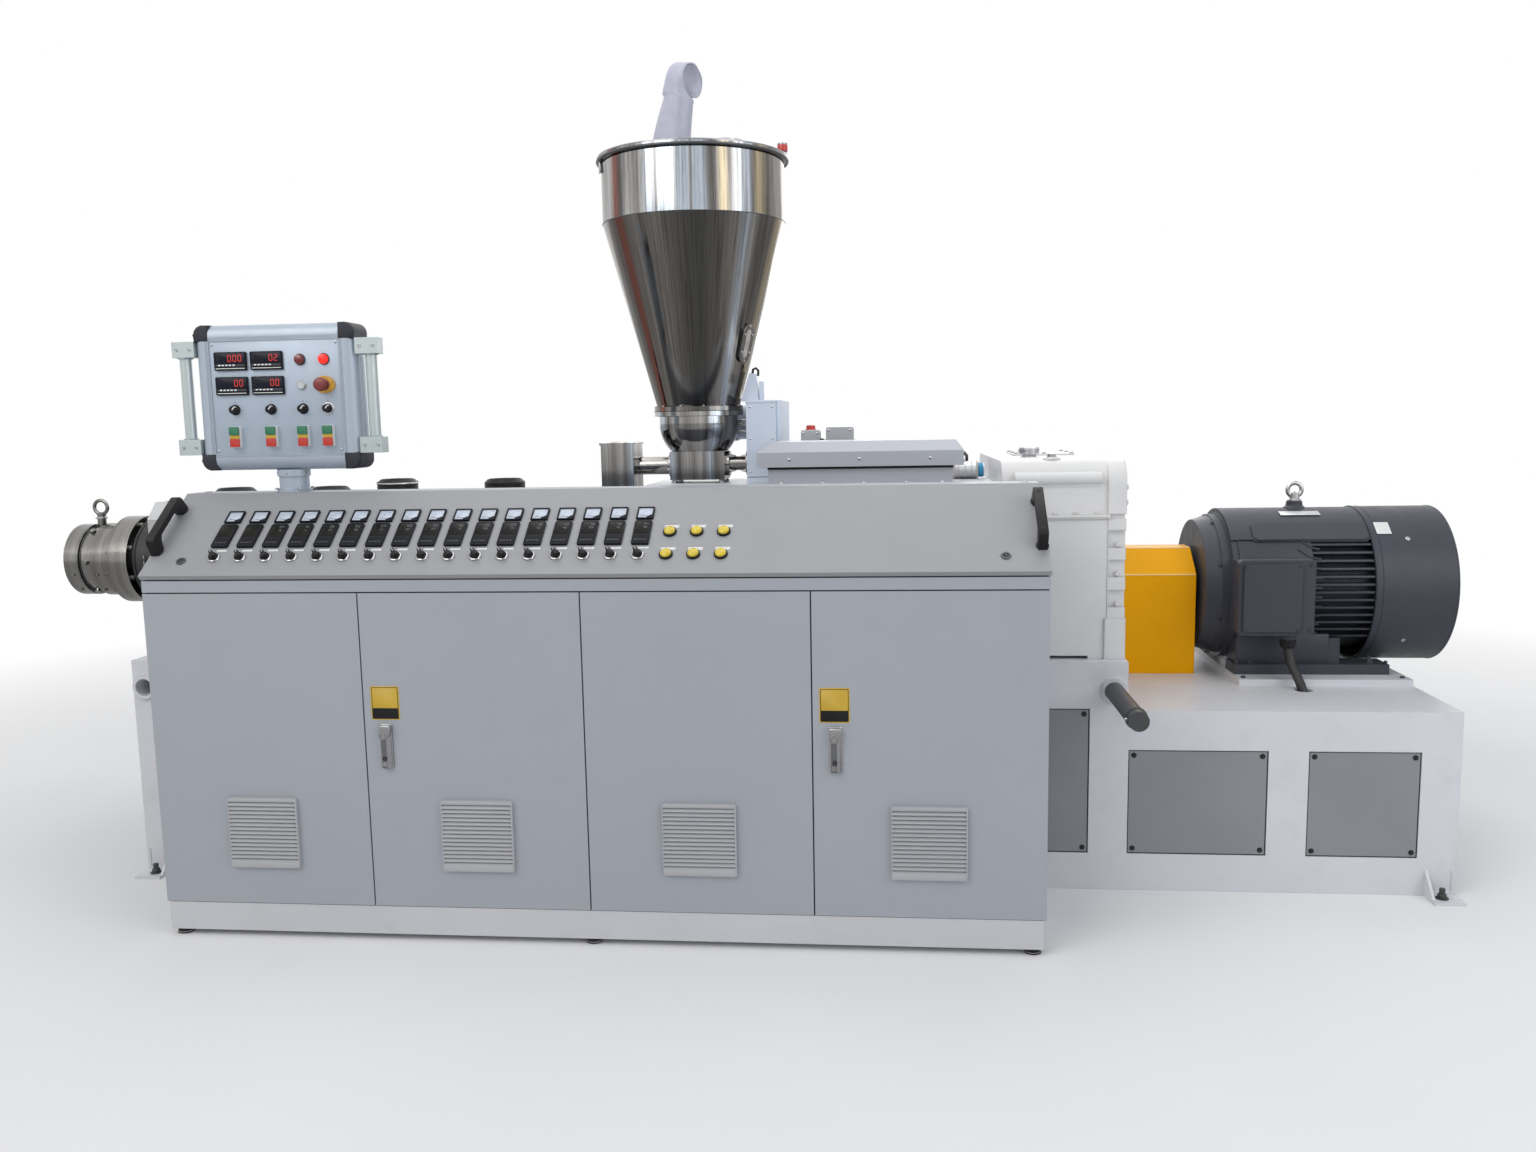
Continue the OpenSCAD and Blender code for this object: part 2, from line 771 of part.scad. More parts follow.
// Sheet cover over the barrel: an inverted trough with end plates, on four legs
module barrel_guard() {
    hole_r = barrel_r0 + 50;
    t = 4;
    bend = 60;
    module outline(d) {
        polygon([
            [-guard_half_w + d, guard_z0],
            [-guard_half_w + d, guard_z1 - bend],
            [-guard_half_w + bend, guard_z1 - d],
            [guard_half_w - bend, guard_z1 - d],
            [guard_half_w - d, guard_z1 - bend],
            [guard_half_w - d, guard_z0]
        ]);
    }
    color("silver") {
        difference() {
            along_x(guard_x0, guard_x1) outline(0);
            along_x(guard_x0 + t, guard_x1 - t) translate([0, -t]) outline(t);
            rod_x(hole_r, guard_x0 - 1, guard_x1 + 1, 0, screw_z);
            block(guard_x0 - 1, guard_x1 + 1, -hole_r, hole_r, guard_z0 - 1, screw_z);
        }
        for (x = [base_x0 + 60, guard_x1 - 60 - guard_leg])
            for (m = [0, 1])
                mirror([0, m, 0]) {
                    block(x, x + guard_leg, guard_half_w - t - 8, guard_half_w - t, base_high_h, guard_z0 + 80);
                    block(x, x + guard_leg, guard_half_w - t - 60, guard_half_w - t, base_high_h, base_high_h + 8);
                }
    }
}

module barrel_caps() {
    chamfer = 12;
    color("black")
        for (k = [0 : len(cap_xs) - 1])
            translate([cap_xs[k], 0, guard_z1]) {
                cylinder(r = cap_r, h = cap_hs[k] - chamfer);
                translate([0, 0, cap_hs[k] - chamfer]) cylinder(r1 = cap_r, r2 = cap_r - chamfer, h = chamfer);
            }
}

module barrel_support() {
    x = support_x;
    w = support_w;
    color("white") difference() {
        union() {
            block(x - 100, x + 100, -150, 150, base_high_h, base_high_h + 20);
            block(x - 15, x + 15, -130, 130, base_high_h + 20, screw_z);
            rod_x(barrel_r(x) + 28, x - w / 2, x + w / 2, 0, screw_z);
        }
        barrel_bore(x - w, x + w);
    }
}

// Adapter between the barrel and a die: flange, two rings with a neck between, lifting eye
module die_adapter() {
    x1 = barrel_x0;
    x0 = x1 - adapter_len;
    flange_x = x1 - 40;
    ring_1_x = flange_x - 86;
    ring_2_x = x0 + 68;
    groove = 8;
    eye_x = x1 - 158;
    color("silver") difference() {
        union() {
            rod_x(barrel_r1 + 48, flange_x, x1, 0, screw_z);
            rod_x(adapter_r - 10, ring_1_x, flange_x, 0, screw_z);
            rod_x(adapter_r, ring_1_x, flange_x - groove, 0, screw_z);
            rod_x(adapter_r - 14, ring_2_x, ring_1_x, 0, screw_z);
            rod_x(adapter_r - 3, x0 + 10, ring_2_x, 0, screw_z);
            rod_x(adapter_r - 20, x0, x0 + 10, 0, screw_z);
            rod_z(16, screw_z + adapter_r - 24, screw_z + adapter_r + 40, eye_x, 0);
            translate([eye_x, 0, screw_z + adapter_r + 63]) eye_ring(27, 7);
        }
        rod_x(60, x0 - 1, x0 + 40, 0, screw_z);
    }
}

// Gearbox

module transfer_box() {
    color("white") {
        block(stand_x0, stand_wide_x, -stand_half, stand_half, base_high_h + 40, stand_z1);
        block(stand_x0 + 20, stand_wide_x, -stand_half - 40, stand_half + 40,
              base_high_h, base_high_h + 40);
        block(stand_wide_x, gear_x0, -stand_wide_half, stand_wide_half, base_high_h, stand_z1);
    }
}

hood_x1 = gear_x0 - 155;
hood_x0 = hood_x1 - 618;
hood_y0 = -436;
hood_y1 = -131;
hood_h = 68;
hood_z1 = stand_z1 + hood_h;
hood_over = [37, 35, 20];
hood_lip = 50;
hood_bevel = [46, 34];

// Cover box with an overhanging lid that has bevelled edges
module hood() {
    lx0 = hood_x0 - hood_over[0];
    lx1 = hood_x1 + hood_over[1];
    ly0 = hood_y0 - hood_over[2];
    ly1 = hood_y1;
    bx = hood_bevel[0];
    bz = hood_bevel[1];
    color("gainsboro") {
        block(hood_x0, hood_x1, hood_y0, hood_y1, stand_z1, hood_z1);
        block(lx0, lx1, ly0, ly1, hood_z1, hood_z1 + hood_lip);
        intersection() {
            along_x(lx0, lx1) polygon([
                [ly0, hood_z1 + hood_lip], [ly0 + bx, hood_z1 + hood_lip + bz],
                [ly1, hood_z1 + hood_lip + bz], [ly1, hood_z1 + hood_lip]
            ]);
            translate([0, ly1, 0]) rotate([90, 0, 0]) linear_extrude(height = ly1 - ly0) polygon([
                [lx0, hood_z1 + hood_lip], [lx0 + bx, hood_z1 + hood_lip + bz],
                [lx1 - bx / 2, hood_z1 + hood_lip + bz], [lx1, hood_z1 + hood_lip]
            ]);
        }
    }
}

// Outline of the gearbox's upper casting in Y and Z, with rounded shoulders
module gear_top_outline(half, z0, z1, r) {
    translate([-half, z0]) square([2 * half, z1 - z0 - r]);
    translate([-half + r, z0]) square([2 * half - 2 * r, z1 - z0]);
    for (y = [-half + r, half - r])
        translate([y, z1 - r]) circle(r = r);
}

module gearbox() {
    pad_len = 60;
    pocket_z = [172, 271, 367];
    pocket_h = 56;
    pocket_depth = 14;
    foot_block_h = 136;
    color("white") {
        // Feet, lower casting and the split flange
        for (x = [gear_x0, gear_x1 - pad_len])
            block(x, x + pad_len, -gear_half, gear_half, gear_z0, gear_z0 + gear_pad);
        block(gear_x0, gear_x1, -gear_half, gear_half, gear_z0 + gear_pad, gear_split_z);
        block(gear_x0, gear_x1 + 6, -gear_half - 8, gear_half + 8, gear_split_z, gear_split_z + 14);
        // Upper casting
        along_x(gear_x0, gear_x1)
            gear_top_outline(gear_half - 14, gear_split_z + 14, gear_z1, 70);
        // End flange on the coupling side, upper part
        along_x(gear_x1, gear_end_x)
            gear_top_outline(gear_half - 6, gear_split_z + 14, gear_z1 - 2, 76);
        // Ledge rib along the front and back of the upper casting
        for (s = [-1, 1])
            rod_x(20, gear_x0 + 40, gear_x1 - 20, s * (gear_half - 16), gear_z1 - 58);
        // Bolting flange with its open pockets, and the foot block below it
        for (m = [0, 1])
            mirror([0, m, 0]) {
                difference() {
                    block(gear_x1 - 1, gear_end_x - 2, -gear_half - 2, -gear_half + 90,
                          gear_z0 + foot_block_h - 20, gear_split_z);
                    for (z = pocket_z)
                        block(gear_x1 + 2, gear_end_x, -gear_half - 3, -gear_half + pocket_depth,
                              gear_z0 + z, gear_z0 + z + pocket_h);
                }
                block(gear_x1 - 8, gear_end_x, -gear_half - 8, -gear_half + 130,
                      gear_z0, gear_z0 + foot_block_h);
            }
        // Bearing housing of the input shaft
        rod_x(150, gear_x1, gear_end_x - 20, shaft_y, shaft_z);
    }
}

// Left end, width and height of the two small terminal boxes on the transfer box
junction_boxes = [[102, 66, 188], [195, 96, 198]];

module drive_fittings() {
    color("silver") {
        // Breather on the gearbox
        rod_z(24, gear_z1, gear_z1 + 10, gear_x0 + breather_at[0], breather_at[1]);
        rod_z(36, gear_z1 + 10, gear_z1 + 34, gear_x0 + breather_at[0], breather_at[1]);
        // Oil pump beside the gearbox
        rod_x(32, hood_x1 + 23, gear_x0 - 45, 0, stand_z1 + 32);
        rod_x(24, gear_x0 - 45, gear_x0 - 20, 0, stand_z1 + 32);
        for (b = junction_boxes)
            block(b[0], b[0] + b[1], -b[1] / 2, b[1] / 2, stand_z1, stand_z1 + b[2]);
    }
}

// Coupling and its guard

guard_cx0 = step_x + 2;
guard_cx1 = motor_x0 - 104;
guard_bend_z = shaft_z + 51;
guard_top_z = shaft_z + 139;
guard_top_half = 50;

module coupling_guard() {
    t = 3;
    module outline(d) {
        polygon([
            [shaft_y - guard_half + d, base_low_h],
            [shaft_y - guard_half + d, guard_bend_z],
            [shaft_y - guard_top_half + d / 2, guard_top_z - d],
            [shaft_y + guard_top_half - d / 2, guard_top_z - d],
            [shaft_y + guard_half - d, guard_bend_z],
            [shaft_y + guard_half - d, base_low_h]
        ]);
    }
    color("gold") {
        difference() {
            along_x(guard_cx0, guard_cx1) outline(0);
            along_x(guard_cx0 - 1, guard_cx1 + 1) translate([0, -0.01]) outline(t);
        }
        for (s = [-1, 1])
            block(guard_cx0 + 20, guard_cx1 - 10, s < 0 ? shaft_y - guard_half + t : shaft_y + guard_half - t - 30,
                  s < 0 ? shaft_y - guard_half + t + 30 : shaft_y + guard_half - t, base_low_h, base_low_h + 4);
    }
}

module coupling() {
    mid = (guard_cx0 + guard_cx1) / 2;
    color("dimgray") {
        rod_x(38, gear_end_x - 20, motor_x0 - bell_len - 10, shaft_y, shaft_z);
        rod_x(105, mid - 80, mid - 6, shaft_y, shaft_z);
        rod_x(70, mid - 6, mid + 6, shaft_y, shaft_z);
        rod_x(105, mid + 6, mid + 80, shaft_y, shaft_z);
    }
}

// Motor

module motor_frame() {
    fin_pitch = fin_span / (fins - 1);
    color("dimgray") {
        rod_x(motor_core_r, motor_x0, motor_x1, shaft_y, shaft_z);
        // Level cooling fins on both sides, cut to the round outline
        intersection() {
            rod_x(fin_r, motor_x0 + 20, motor_x1, shaft_y, shaft_z);
            for (k = [0 : fins - 1])
                block(motor_x0 + 20, motor_x1, shaft_y - fin_r, shaft_y + fin_r,
                      shaft_z - fin_span / 2 + k * fin_pitch - fin_t / 2,
                      shaft_z - fin_span / 2 + k * fin_pitch + fin_t / 2);
        }
        // Smooth shoulder over the fins, with its raised pads
        intersection() {
            rod_x(cowl_r - 2, motor_x0, motor_x1, shaft_y, shaft_z);
            block(motor_x0, motor_x1, shaft_y - 215, shaft_y + 215, shaft_z + 182, shaft_z + cowl_r);
        }
        // Raised pads on the sloping part of the shoulder
        for (m = [-1, 1])
            translate([0, shaft_y, shaft_z]) rotate([m * pad_turn, 0, 0])
                block(motor_x0 + 132, motor_x1 - 8, -34, 34, cowl_r - 22, cowl_r + 2);
        // Front ring of the frame
        rod_x(cowl_r - 8, motor_x0, motor_x0 + 30, shaft_y, shaft_z);
        // End bell
        rod_x(cowl_r - 24, motor_x0 - 34, motor_x0, shaft_y, shaft_z);
        translate([motor_x0 - bell_len, shaft_y, shaft_z]) rotate([0, 90, 0])
            cylinder(r1 = cowl_r - 44, r2 = cowl_r - 30, h = bell_len - 34);
        rod_x(95, motor_x0 - bell_len - 10, motor_x0 - bell_len, shaft_y, shaft_z);
        // Feet
        for (s = [-1, 1]) {
            block(motor_foot_x0, motor_foot_x0 + motor_foot_len,
                  s < 0 ? shaft_y - motor_foot_half : shaft_y + motor_foot_half - 120,
                  s < 0 ? shaft_y - motor_foot_half + 120 : shaft_y + motor_foot_half,
                  motor_z0, motor_z0 + motor_foot_t);
            for (x = [motor_foot_x0 + 10, motor_foot_x0 + 240, motor_foot_x0 + 330])
                block(x, x + 40, s < 0 ? shaft_y - motor_foot_half + 30 : shaft_y + 120,
                      s < 0 ? shaft_y - 120 : shaft_y + motor_foot_half - 30,
                      motor_z0 + motor_foot_t, shaft_z - 170);
        }
        // Boss and lifting eye
        rod_z(28, shaft_z + cowl_r - 20, shaft_z + cowl_r + 22, motor_eye_x, shaft_y);
        terminal_box();
    }
    color("silver") {
        rod_z(16, shaft_z + cowl_r + 22, shaft_z + cowl_r + 40, motor_eye_x, shaft_y);
        translate([motor_eye_x, shaft_y, shaft_z + cowl_r + 64]) eye_ring(25, 7);
    }
}

// Fan cowl: a drum over the fan with a ring grille in its end
module motor_cowl() {
    t = 4;
    x0 = motor_x1;
    x1 = x0 + cowl_len;
    ring_w = 10;
    ring_pitch = 26;
    first_ring = 60;
    rings = floor((cowl_r - 50 - first_ring) / ring_pitch);
    color("slategray") {
        difference() {
            rod_x(cowl_r, x0, x1, shaft_y, shaft_z);
            rod_x(cowl_r - t, x0 - 1, x1 - t, shaft_y, shaft_z);
            difference() {
                for (k = [0 : rings - 1])
                    translate([x1 - t - 1, shaft_y, shaft_z]) rotate([0, 90, 0])
                        rotate_extrude()
                            translate([first_ring + k * ring_pitch, 0]) square([ring_w, t + 2]);
                for (a = [0 : 45 : 135])
                    translate([x1 - t / 2, shaft_y, shaft_z]) rotate([a, 0, 0])
                        cube([t + 4, 2 * cowl_r, 14], center = true);
            }
        }
        // Tail of the motor frame and the fan's disc inside the cowl
        rod_x(motor_core_r - 6, x0, x0 + 30, shaft_y, shaft_z);
        rod_x(30, x0 + 30, x1 - 60, shaft_y, shaft_z);
        rod_x(cowl_r - 40, x1 - 75, x1 - 60, shaft_y, shaft_z);
    }
}

tbox_x0 = motor_x0 - 16;
tbox_len = 255;
tbox_z0 = 792;
tbox_h = 264;
tbox_y0 = -226;
gland_x = tbox_x0 + 183;
gland_y = tbox_y0 + 46;

// Terminal box on the side of the motor: lid with a raised field, neck and cable gland
module terminal_box() {
    lid_d = 40;
    rim = 14;
    translate([tbox_x0, tbox_y0 + lid_d, tbox_z0]) rotate([90, 0, 0])
        linear_extrude(height = lid_d) rounded_square(tbox_len, tbox_h, rim);
    translate([tbox_x0 + rim, tbox_y0, tbox_z0 + rim]) rotate([90, 0, 0])
        linear_extrude(height = 10) rounded_square(tbox_len - 60, tbox_h - 2 * rim, 10);
    block(tbox_x0 + 10, tbox_x0 + tbox_len - 10, tbox_y0 + lid_d, shaft_y - motor_core_r + 40,
          tbox_z0 + 10, tbox_z0 + tbox_h - 10);
    rod_z(26, tbox_z0 - 20, tbox_z0 + 20, gland_x, gland_y);
}

// Points that the motor cable follows from its gland to the hole in the base
cable_top = tbox_z0 - 20;
cable_drop = cable_top - base_low_h;
cable_path = [
    [gland_x, gland_y, cable_top],
    [gland_x + 1, gland_y - 4, cable_top - 0.21 * cable_drop],
    [gland_x + 5, gland_y - 18, cable_top - 0.46 * cable_drop],
    [gland_x + 17, gland_y - 46, cable_top - 0.7 * cable_drop],
    [cable_hole[0] - 8, cable_hole[1] + 10, cable_top - 0.88 * cable_drop],
    [cable_hole[0], cable_hole[1], base_low_h - 12],
    [cable_hole[0], cable_hole[1], base_low_h - 59]
];

module tube_along(points, r, sides) {
    n = len(points);
    ring = [for (i = [0 : n - 1])
        for (k = [0 : sides - 1])
            let (a = 360 * k / sides)
            points[i] + [r * cos(a), r * sin(a), 0]];
    bottom = [[for (k = [0 : sides - 1]) k]];
    top = [[for (k = [sides - 1 : -1 : 0]) (n - 1) * sides + k]];
    walls = [for (i = [0 : n - 2])
        for (k = [0 : sides - 1])
            [i * sides + k, (i + 1) * sides + k, (i + 1) * sides + (k + 1) % sides, i * sides + (k + 1) % sides]];
    polyhedron(points = ring, faces = concat(bottom, walls, top), convexity = 4);
}

module motor_cable() {
    color("black") tube_along(cable_path, cable_r, 12);
}

// Hopper and feeder

module hopper() {
    t = steel_t;
    sight_r = outlet_r + (hopper_r - outlet_r) * (sight_z - cone_z0) / hopper_cone_h;
    color("silver") translate([hopper_x, 0, 0]) {
        rotate_extrude() polygon([
            [outlet_r - t, hopper_z0],
            [ring_r, hopper_z0],
            [ring_r, cone_z0],
            [outlet_r, cone_z0],
            [hopper_r, cyl_z0],
            [hopper_r, rim_z],
            [rim_r, rim_z],
            [rim_r, lid_z],
            [hopper_r - t, lid_z],
            [hopper_r - t, cyl_z0],
            [outlet_r - t, cone_z0]
        ]);
        // Frame of the sight glass on the cone
        translate([0, 0, sight_z]) rotate([0, 0, sight_turn]) translate([sight_r - 2, 0, 0])
            rotate([0, 90 + cone_tilt, 0]) translate([-sight_size[1] / 2, -sight_size[0] / 2, 0])
                linear_extrude(height = 10) rounded_square(sight_size[1], sight_size[0], 28);
    }
}

sock_x = hopper_x - 74;
inlet_x = hopper_x + 130;
inlet_r = 56;
inlet_y = -60;
collar_h = 46;
inlet_h = 36;
tube_r = 70;
lamp_at_x = hopper_x + hopper_r - 4;

module hopper_lid() {
    z = lid_z;
    color("silver") {
        rod_z(rim_r - 4, z, z + hopper_lid_t, hopper_x, 0);
        for (c = [[sock_x, 0, collar_h, tube_r], [inlet_x, inlet_y, inlet_h, inlet_r]])
            difference() {
                rod_z(c[3], z + hopper_lid_t, z + hopper_lid_t + c[2], c[0], c[1]);
                rod_z(c[3] - 3, z + hopper_lid_t + 4, z + hopper_lid_t + c[2] + 1, c[0], c[1]);
            }
        rod_z(inlet_r + 8, z + hopper_lid_t + inlet_h, z + hopper_lid_t + inlet_h + 8, inlet_x, inlet_y);
        // Level sensor with its lamp
        rod_z(14, z + hopper_lid_t, z + hopper_lid_t + 14, lamp_at_x, 0);
        rod_z(18, z + hopper_lid_t + 14, z + hopper_lid_t + 42, lamp_at_x, 0);
    }
}

sock_z0 = lid_z + hopper_lid_t + collar_h;
sock_mouth = [76, -6, 222];
sock_mouth_r = 56;
sock_mouth_turn = [28, 52, 0];

// Filter sock on the hopper's vent: a soft sleeve that leans over to a slanting mouth
module filter_sock() {
    color("white") hull() {
        translate([sock_x, 0, sock_z0]) cylinder(r = tube_r - 2, h = 4, $fn = 32);
        translate([sock_x + sock_mouth[0], sock_mouth[1], sock_z0 + sock_mouth[2]])
            rotate(sock_mouth_turn) cylinder(r = sock_mouth_r, h = 4, $fn = 32);
    }
}

module feed_bowl() {
    t = steel_t;
    color("silver") {
        // Round bowl: a part of a sphere, a short neck and its ring
        translate([hopper_x, 0, bowl_z]) rotate_extrude() {
            intersection() {
                difference() {
                    circle(r = bowl_r);
                    circle(r = bowl_r - t);
                }
                translate([0, trough_z1 - bowl_z]) square([bowl_r, bowl_z - trough_z1]);
            }
            translate([bowl_r - t, 0]) square([t, bowl_top - bowl_z]);
            translate([bowl_r - t, bowl_top - bowl_z]) square([ring_r - bowl_r + t, ring_t]);
        }
        // Trough with the feed screw inside
        block(hopper_x - trough_half, hopper_x + trough_half, -trough_depth, trough_depth,
              trough_z0, trough_z1);
        for (x = [hopper_x - trough_half + 14, hopper_x + trough_half - 14])
            for (y = [-trough_depth + 14, trough_depth - 14])
                rod_z(9, stand_z1, trough_z0, x, y);
        // Shaft housing towards the drive
        rod_x(26, hopper_x + trough_half, drive_x0, 0, feed_z + 4);
        rod_x(46, hopper_x + trough_half, hopper_x + trough_half + 12, 0, feed_z + 4);
        rod_x(46, drive_x0 - 12, drive_x0, 0, feed_z + 4);
    }
}

// Open duct that drops the granulate into the barrel, with the tube of the feed screw
module drop_duct() {
    t = steel_t;
    x = throat_x;
    w = duct_size[0] / 2;
    d = duct_size[1] / 2;
    trough_x0 = hopper_x - trough_half;
    color("silver") difference() {
        union() {
            block(x - w, x + w, -d, d, throat_z0, duct_top);
            block(x - w - duct_rim, x + w + duct_rim, -d - duct_rim, d + duct_rim,
                  throat_z0, throat_z0 + throat_flange_t);
            block(x - w - t, x + w + t, -d - t, d + t, duct_top - 2 * t, duct_top);
            rod_x(feed_r, x + w - t, trough_x0, 0, feed_z);
            rod_x(feed_r + 14, trough_x0 - 10, trough_x0, 0, feed_z);
        }
        block(x - w + t, x + w - t, -d + t, d - t, throat_z0 - 1, duct_top + 1);
        rod_x(feed_r - t, x, trough_x0 + 1, 0, feed_z);
    }
}

module feed_drive() {
    r = 66;
    geared_len = 216;
    motor_y = ring_r + r + 1;
    motor_z = drive_z1 - 77;
    color("lightsteelblue") {
        translate([drive_x0, drive_y1, stand_z1]) rotate([90, 0, 0])
            linear_extrude(height = drive_y1 - drive_y0)
                polygon([
                    [0, 0], [drive_x1 - drive_x0, 0],
                    [drive_x1 - drive_x0, drive_z1 - stand_z1], [0, drive_z1 - stand_z1]
                ]);
        // Small gear motor behind the bowl
        rod_x(r + 14, drive_x0 - 14, drive_x0, motor_y, motor_z);
        rod_x(r, drive_x0 - 14 - geared_len, drive_x0 - 14, motor_y, motor_z);
        // Wedge shaped belt guard on top and the lighter cover on the drive's right side
        translate([0, -16, drive_z1]) rotate([90, 0, 0]) linear_extrude(height = 44)
            polygon([
                [drive_x0 - 22, 0], [drive_x0 + 44, 0], [drive_x0 + 34, 98], [drive_x0 + 10, 102]
            ]);
        block(drive_x1, drive_x1 + 18, drive_y0 + 8, drive_y1 - 40, stand_z1 + 118, drive_z1);
    }
}

base_frame();
base_panels();
lifting_bar();
cabinet_plinth();
cabinet_shell();
cabinet_plates();
door(1);  // door_1
door(2);  // door_2
door(3);  // door_3
door(4);  // door_4
grille(1);  // door_1_grille
grille(2);  // door_2_grille
grille(3);  // door_3_grille
grille(4);  // door_4_grille
lock_handle(2);  // door_2_handle
lock_handle(4);  // door_4_handle
console_lid();
lid_instruments();
lid_switches();
lid_handles();
operator_post();
operator_box();
operator_controls();
operator_grips();
barrel();
heater_bands();
barrel_guard();
barrel_caps();
barrel_support();
die_adapter();
transfer_box();
hood();
gearbox();
drive_fittings();
coupling_guard();
coupling();
motor_frame();
motor_cowl();
motor_cable();
hopper();
hopper_lid();
filter_sock();
feed_bowl();
drop_duct();
feed_drive();
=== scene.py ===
"""Looks of a conical twin screw extruder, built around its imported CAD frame.

Metres, +X towards the motor, +Y away from the console, +Z up.
"""

import functools
import random
from itertools import product
from math import atan2, cos, degrees, exp, pi, radians, sin, sqrt, tau

import bmesh
import bpy
from mathutils import Matrix, Vector


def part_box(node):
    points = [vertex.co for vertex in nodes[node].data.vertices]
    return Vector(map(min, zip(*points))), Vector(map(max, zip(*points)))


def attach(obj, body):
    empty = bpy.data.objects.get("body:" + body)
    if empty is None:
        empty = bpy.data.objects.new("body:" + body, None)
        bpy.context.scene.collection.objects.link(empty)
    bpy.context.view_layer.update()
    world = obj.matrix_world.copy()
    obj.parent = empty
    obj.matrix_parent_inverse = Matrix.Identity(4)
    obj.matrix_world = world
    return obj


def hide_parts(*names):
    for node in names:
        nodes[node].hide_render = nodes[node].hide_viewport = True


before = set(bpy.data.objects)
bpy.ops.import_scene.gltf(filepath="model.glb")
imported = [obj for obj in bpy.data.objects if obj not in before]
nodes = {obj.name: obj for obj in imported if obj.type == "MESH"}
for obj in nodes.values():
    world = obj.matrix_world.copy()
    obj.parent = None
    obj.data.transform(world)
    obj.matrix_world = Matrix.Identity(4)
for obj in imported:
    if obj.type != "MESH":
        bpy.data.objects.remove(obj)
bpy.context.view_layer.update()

SIDES = (-1, 1)


def vec(x, y, z):
    return Vector((x, y, z))


def shift(x, y, z):
    return Matrix.Translation((x, y, z))


def turned(axis, angle):
    return Matrix.Rotation(angle, 4, axis)


def spin(angle):
    """Turn round Z by an angle in degrees."""
    return turned("Z", radians(angle))


def around(count, start=0):
    """Angles of equal steps round a circle, from a start in degrees."""
    return [radians(start + 360 * k / count) for k in range(count)]


def spoke(angle):
    """Unit direction at an angle from +Y round the X axis."""
    return vec(0, cos(angle), sin(angle))


def ray(angle):
    """Unit direction at an angle from +X round the Z axis."""
    return vec(cos(angle), sin(angle), 0)


def arc(radius, start, sweep, steps, x=0, y=0):
    """Points of an arc given in degrees, round a centre."""
    turns = [radians(start + sweep * k / steps) for k in range(steps + 1)]
    return [(x + radius * cos(a), y + radius * sin(a)) for a in turns]


def link(thing):
    bpy.context.scene.collection.objects.link(thing)
    return thing


X, Y, Z = vec(1, 0, 0), vec(0, 1, 0), vec(0, 0, 1)

# ---------------------------------------------------------------- camera

CAMERA_AT = vec(0.4272, -4.5578, 1.570)
FOCAL = 1221.1
IMAGE_WIDTH = 1536
SENSOR = 36.0
PITCH, YAW, ROLL = -0.1277, 0.1010, 0.0181


def make_camera():
    right, forward, up, _ = (turned("Z", YAW) @ turned("X", PITCH) @ turned("Y", ROLL)).col
    data = bpy.data.cameras.new("camera")
    data.sensor_width = SENSOR
    data.lens = FOCAL / IMAGE_WIDTH * SENSOR
    data.clip_end = 200
    camera = link(bpy.data.objects.new("camera", data))
    axes = Matrix((right.xyz, up.xyz, -forward.xyz)).transposed().to_4x4()
    camera.matrix_world = shift(*CAMERA_AT) @ axes
    bpy.context.scene.camera = camera


# ---------------------------------------------------------------- materials

WHITE = (1, 1, 1)
EVEN = (1, 1, 1)
ROUGH_SPREAD = 0.06


class Nodes:
    """Builds a node tree. An input takes a socket, which is linked, or a plain value."""

    def __init__(self, owner):
        owner.use_nodes = True
        self.owner = owner
        self.tree = owner.node_tree

    def fill(self, socket, value):
        if isinstance(value, bpy.types.NodeSocket):
            self.tree.links.new(value, socket)
        else:
            socket.default_value = value

    def add(self, kind, *values, out=0, **settings):
        """Adds a node with its first inputs and its named inputs or settings; returns an output."""
        node = self.tree.nodes.new("ShaderNode" + kind)
        for key, value in settings.items():
            if key in node.inputs:
                self.fill(node.inputs[key], value)
            else:
                setattr(node, key, value)
        for socket, value in zip(node.inputs, values):
            self.fill(socket, value)
        return node.outputs[out]

    def maths(self, operation, *values):
        return self.add("Math", *values, operation=operation)

    def vectors(self, operation, *values, out=0):
        return self.add("VectorMath", *values, operation=operation, out=out)

    def noise(self, scale, detail=3.0, stretch=EVEN, rough=0.55):
        place = self.add("Mapping", self.add("TexCoord", out="Object"), Scale=stretch)
        return self.add("TexNoise", place, Scale=scale, Detail=detail, Roughness=rough, out="Fac")

    def spread(self, value, low, high, start=0.3, end=0.7):
        return self.add("MapRange", value, start, end, low, high)

    def mix(self, factor, a, b, blend_type="MIX"):
        """Mix of two colours, each a socket or three numbers."""
        node = self.add("Mix", factor, data_type="RGBA", blend_type=blend_type).node
        for socket, value in ((node.inputs[6], a), (node.inputs[7], b)):
            self.fill(socket, (*value, 1) if isinstance(value, tuple) else value)
        return node.outputs[2]

    def mottle(self, scale, detail, a, b, stretch=EVEN):
        return self.mix(self.spread(self.noise(scale, detail, stretch), 0, 1), a, b)

    def bump(self, height, strength, distance, normal=None):
        extra = {} if normal is None else {"Normal": normal}
        return self.add("Bump", Height=height, Strength=strength, Distance=distance, **extra)

    def surface(self, color, rough, normal=None, **inputs):
        """Fills the main shader. Names are written with _ in place of blanks."""
        values = {"Base_Color": (*color, 1) if isinstance(color, tuple) else color, "Roughness": rough,
                  "Normal": normal, **inputs}
        for key, value in values.items():
            if value is not None:
                self.fill(self.tree.nodes["Principled BSDF"].inputs[key.replace("_", " ")], value)
        return self.owner


def new_material(name):
    return Nodes(bpy.data.materials.new(name))


def shade(color, factor):
    return tuple(min(1.0, c * factor) for c in color)


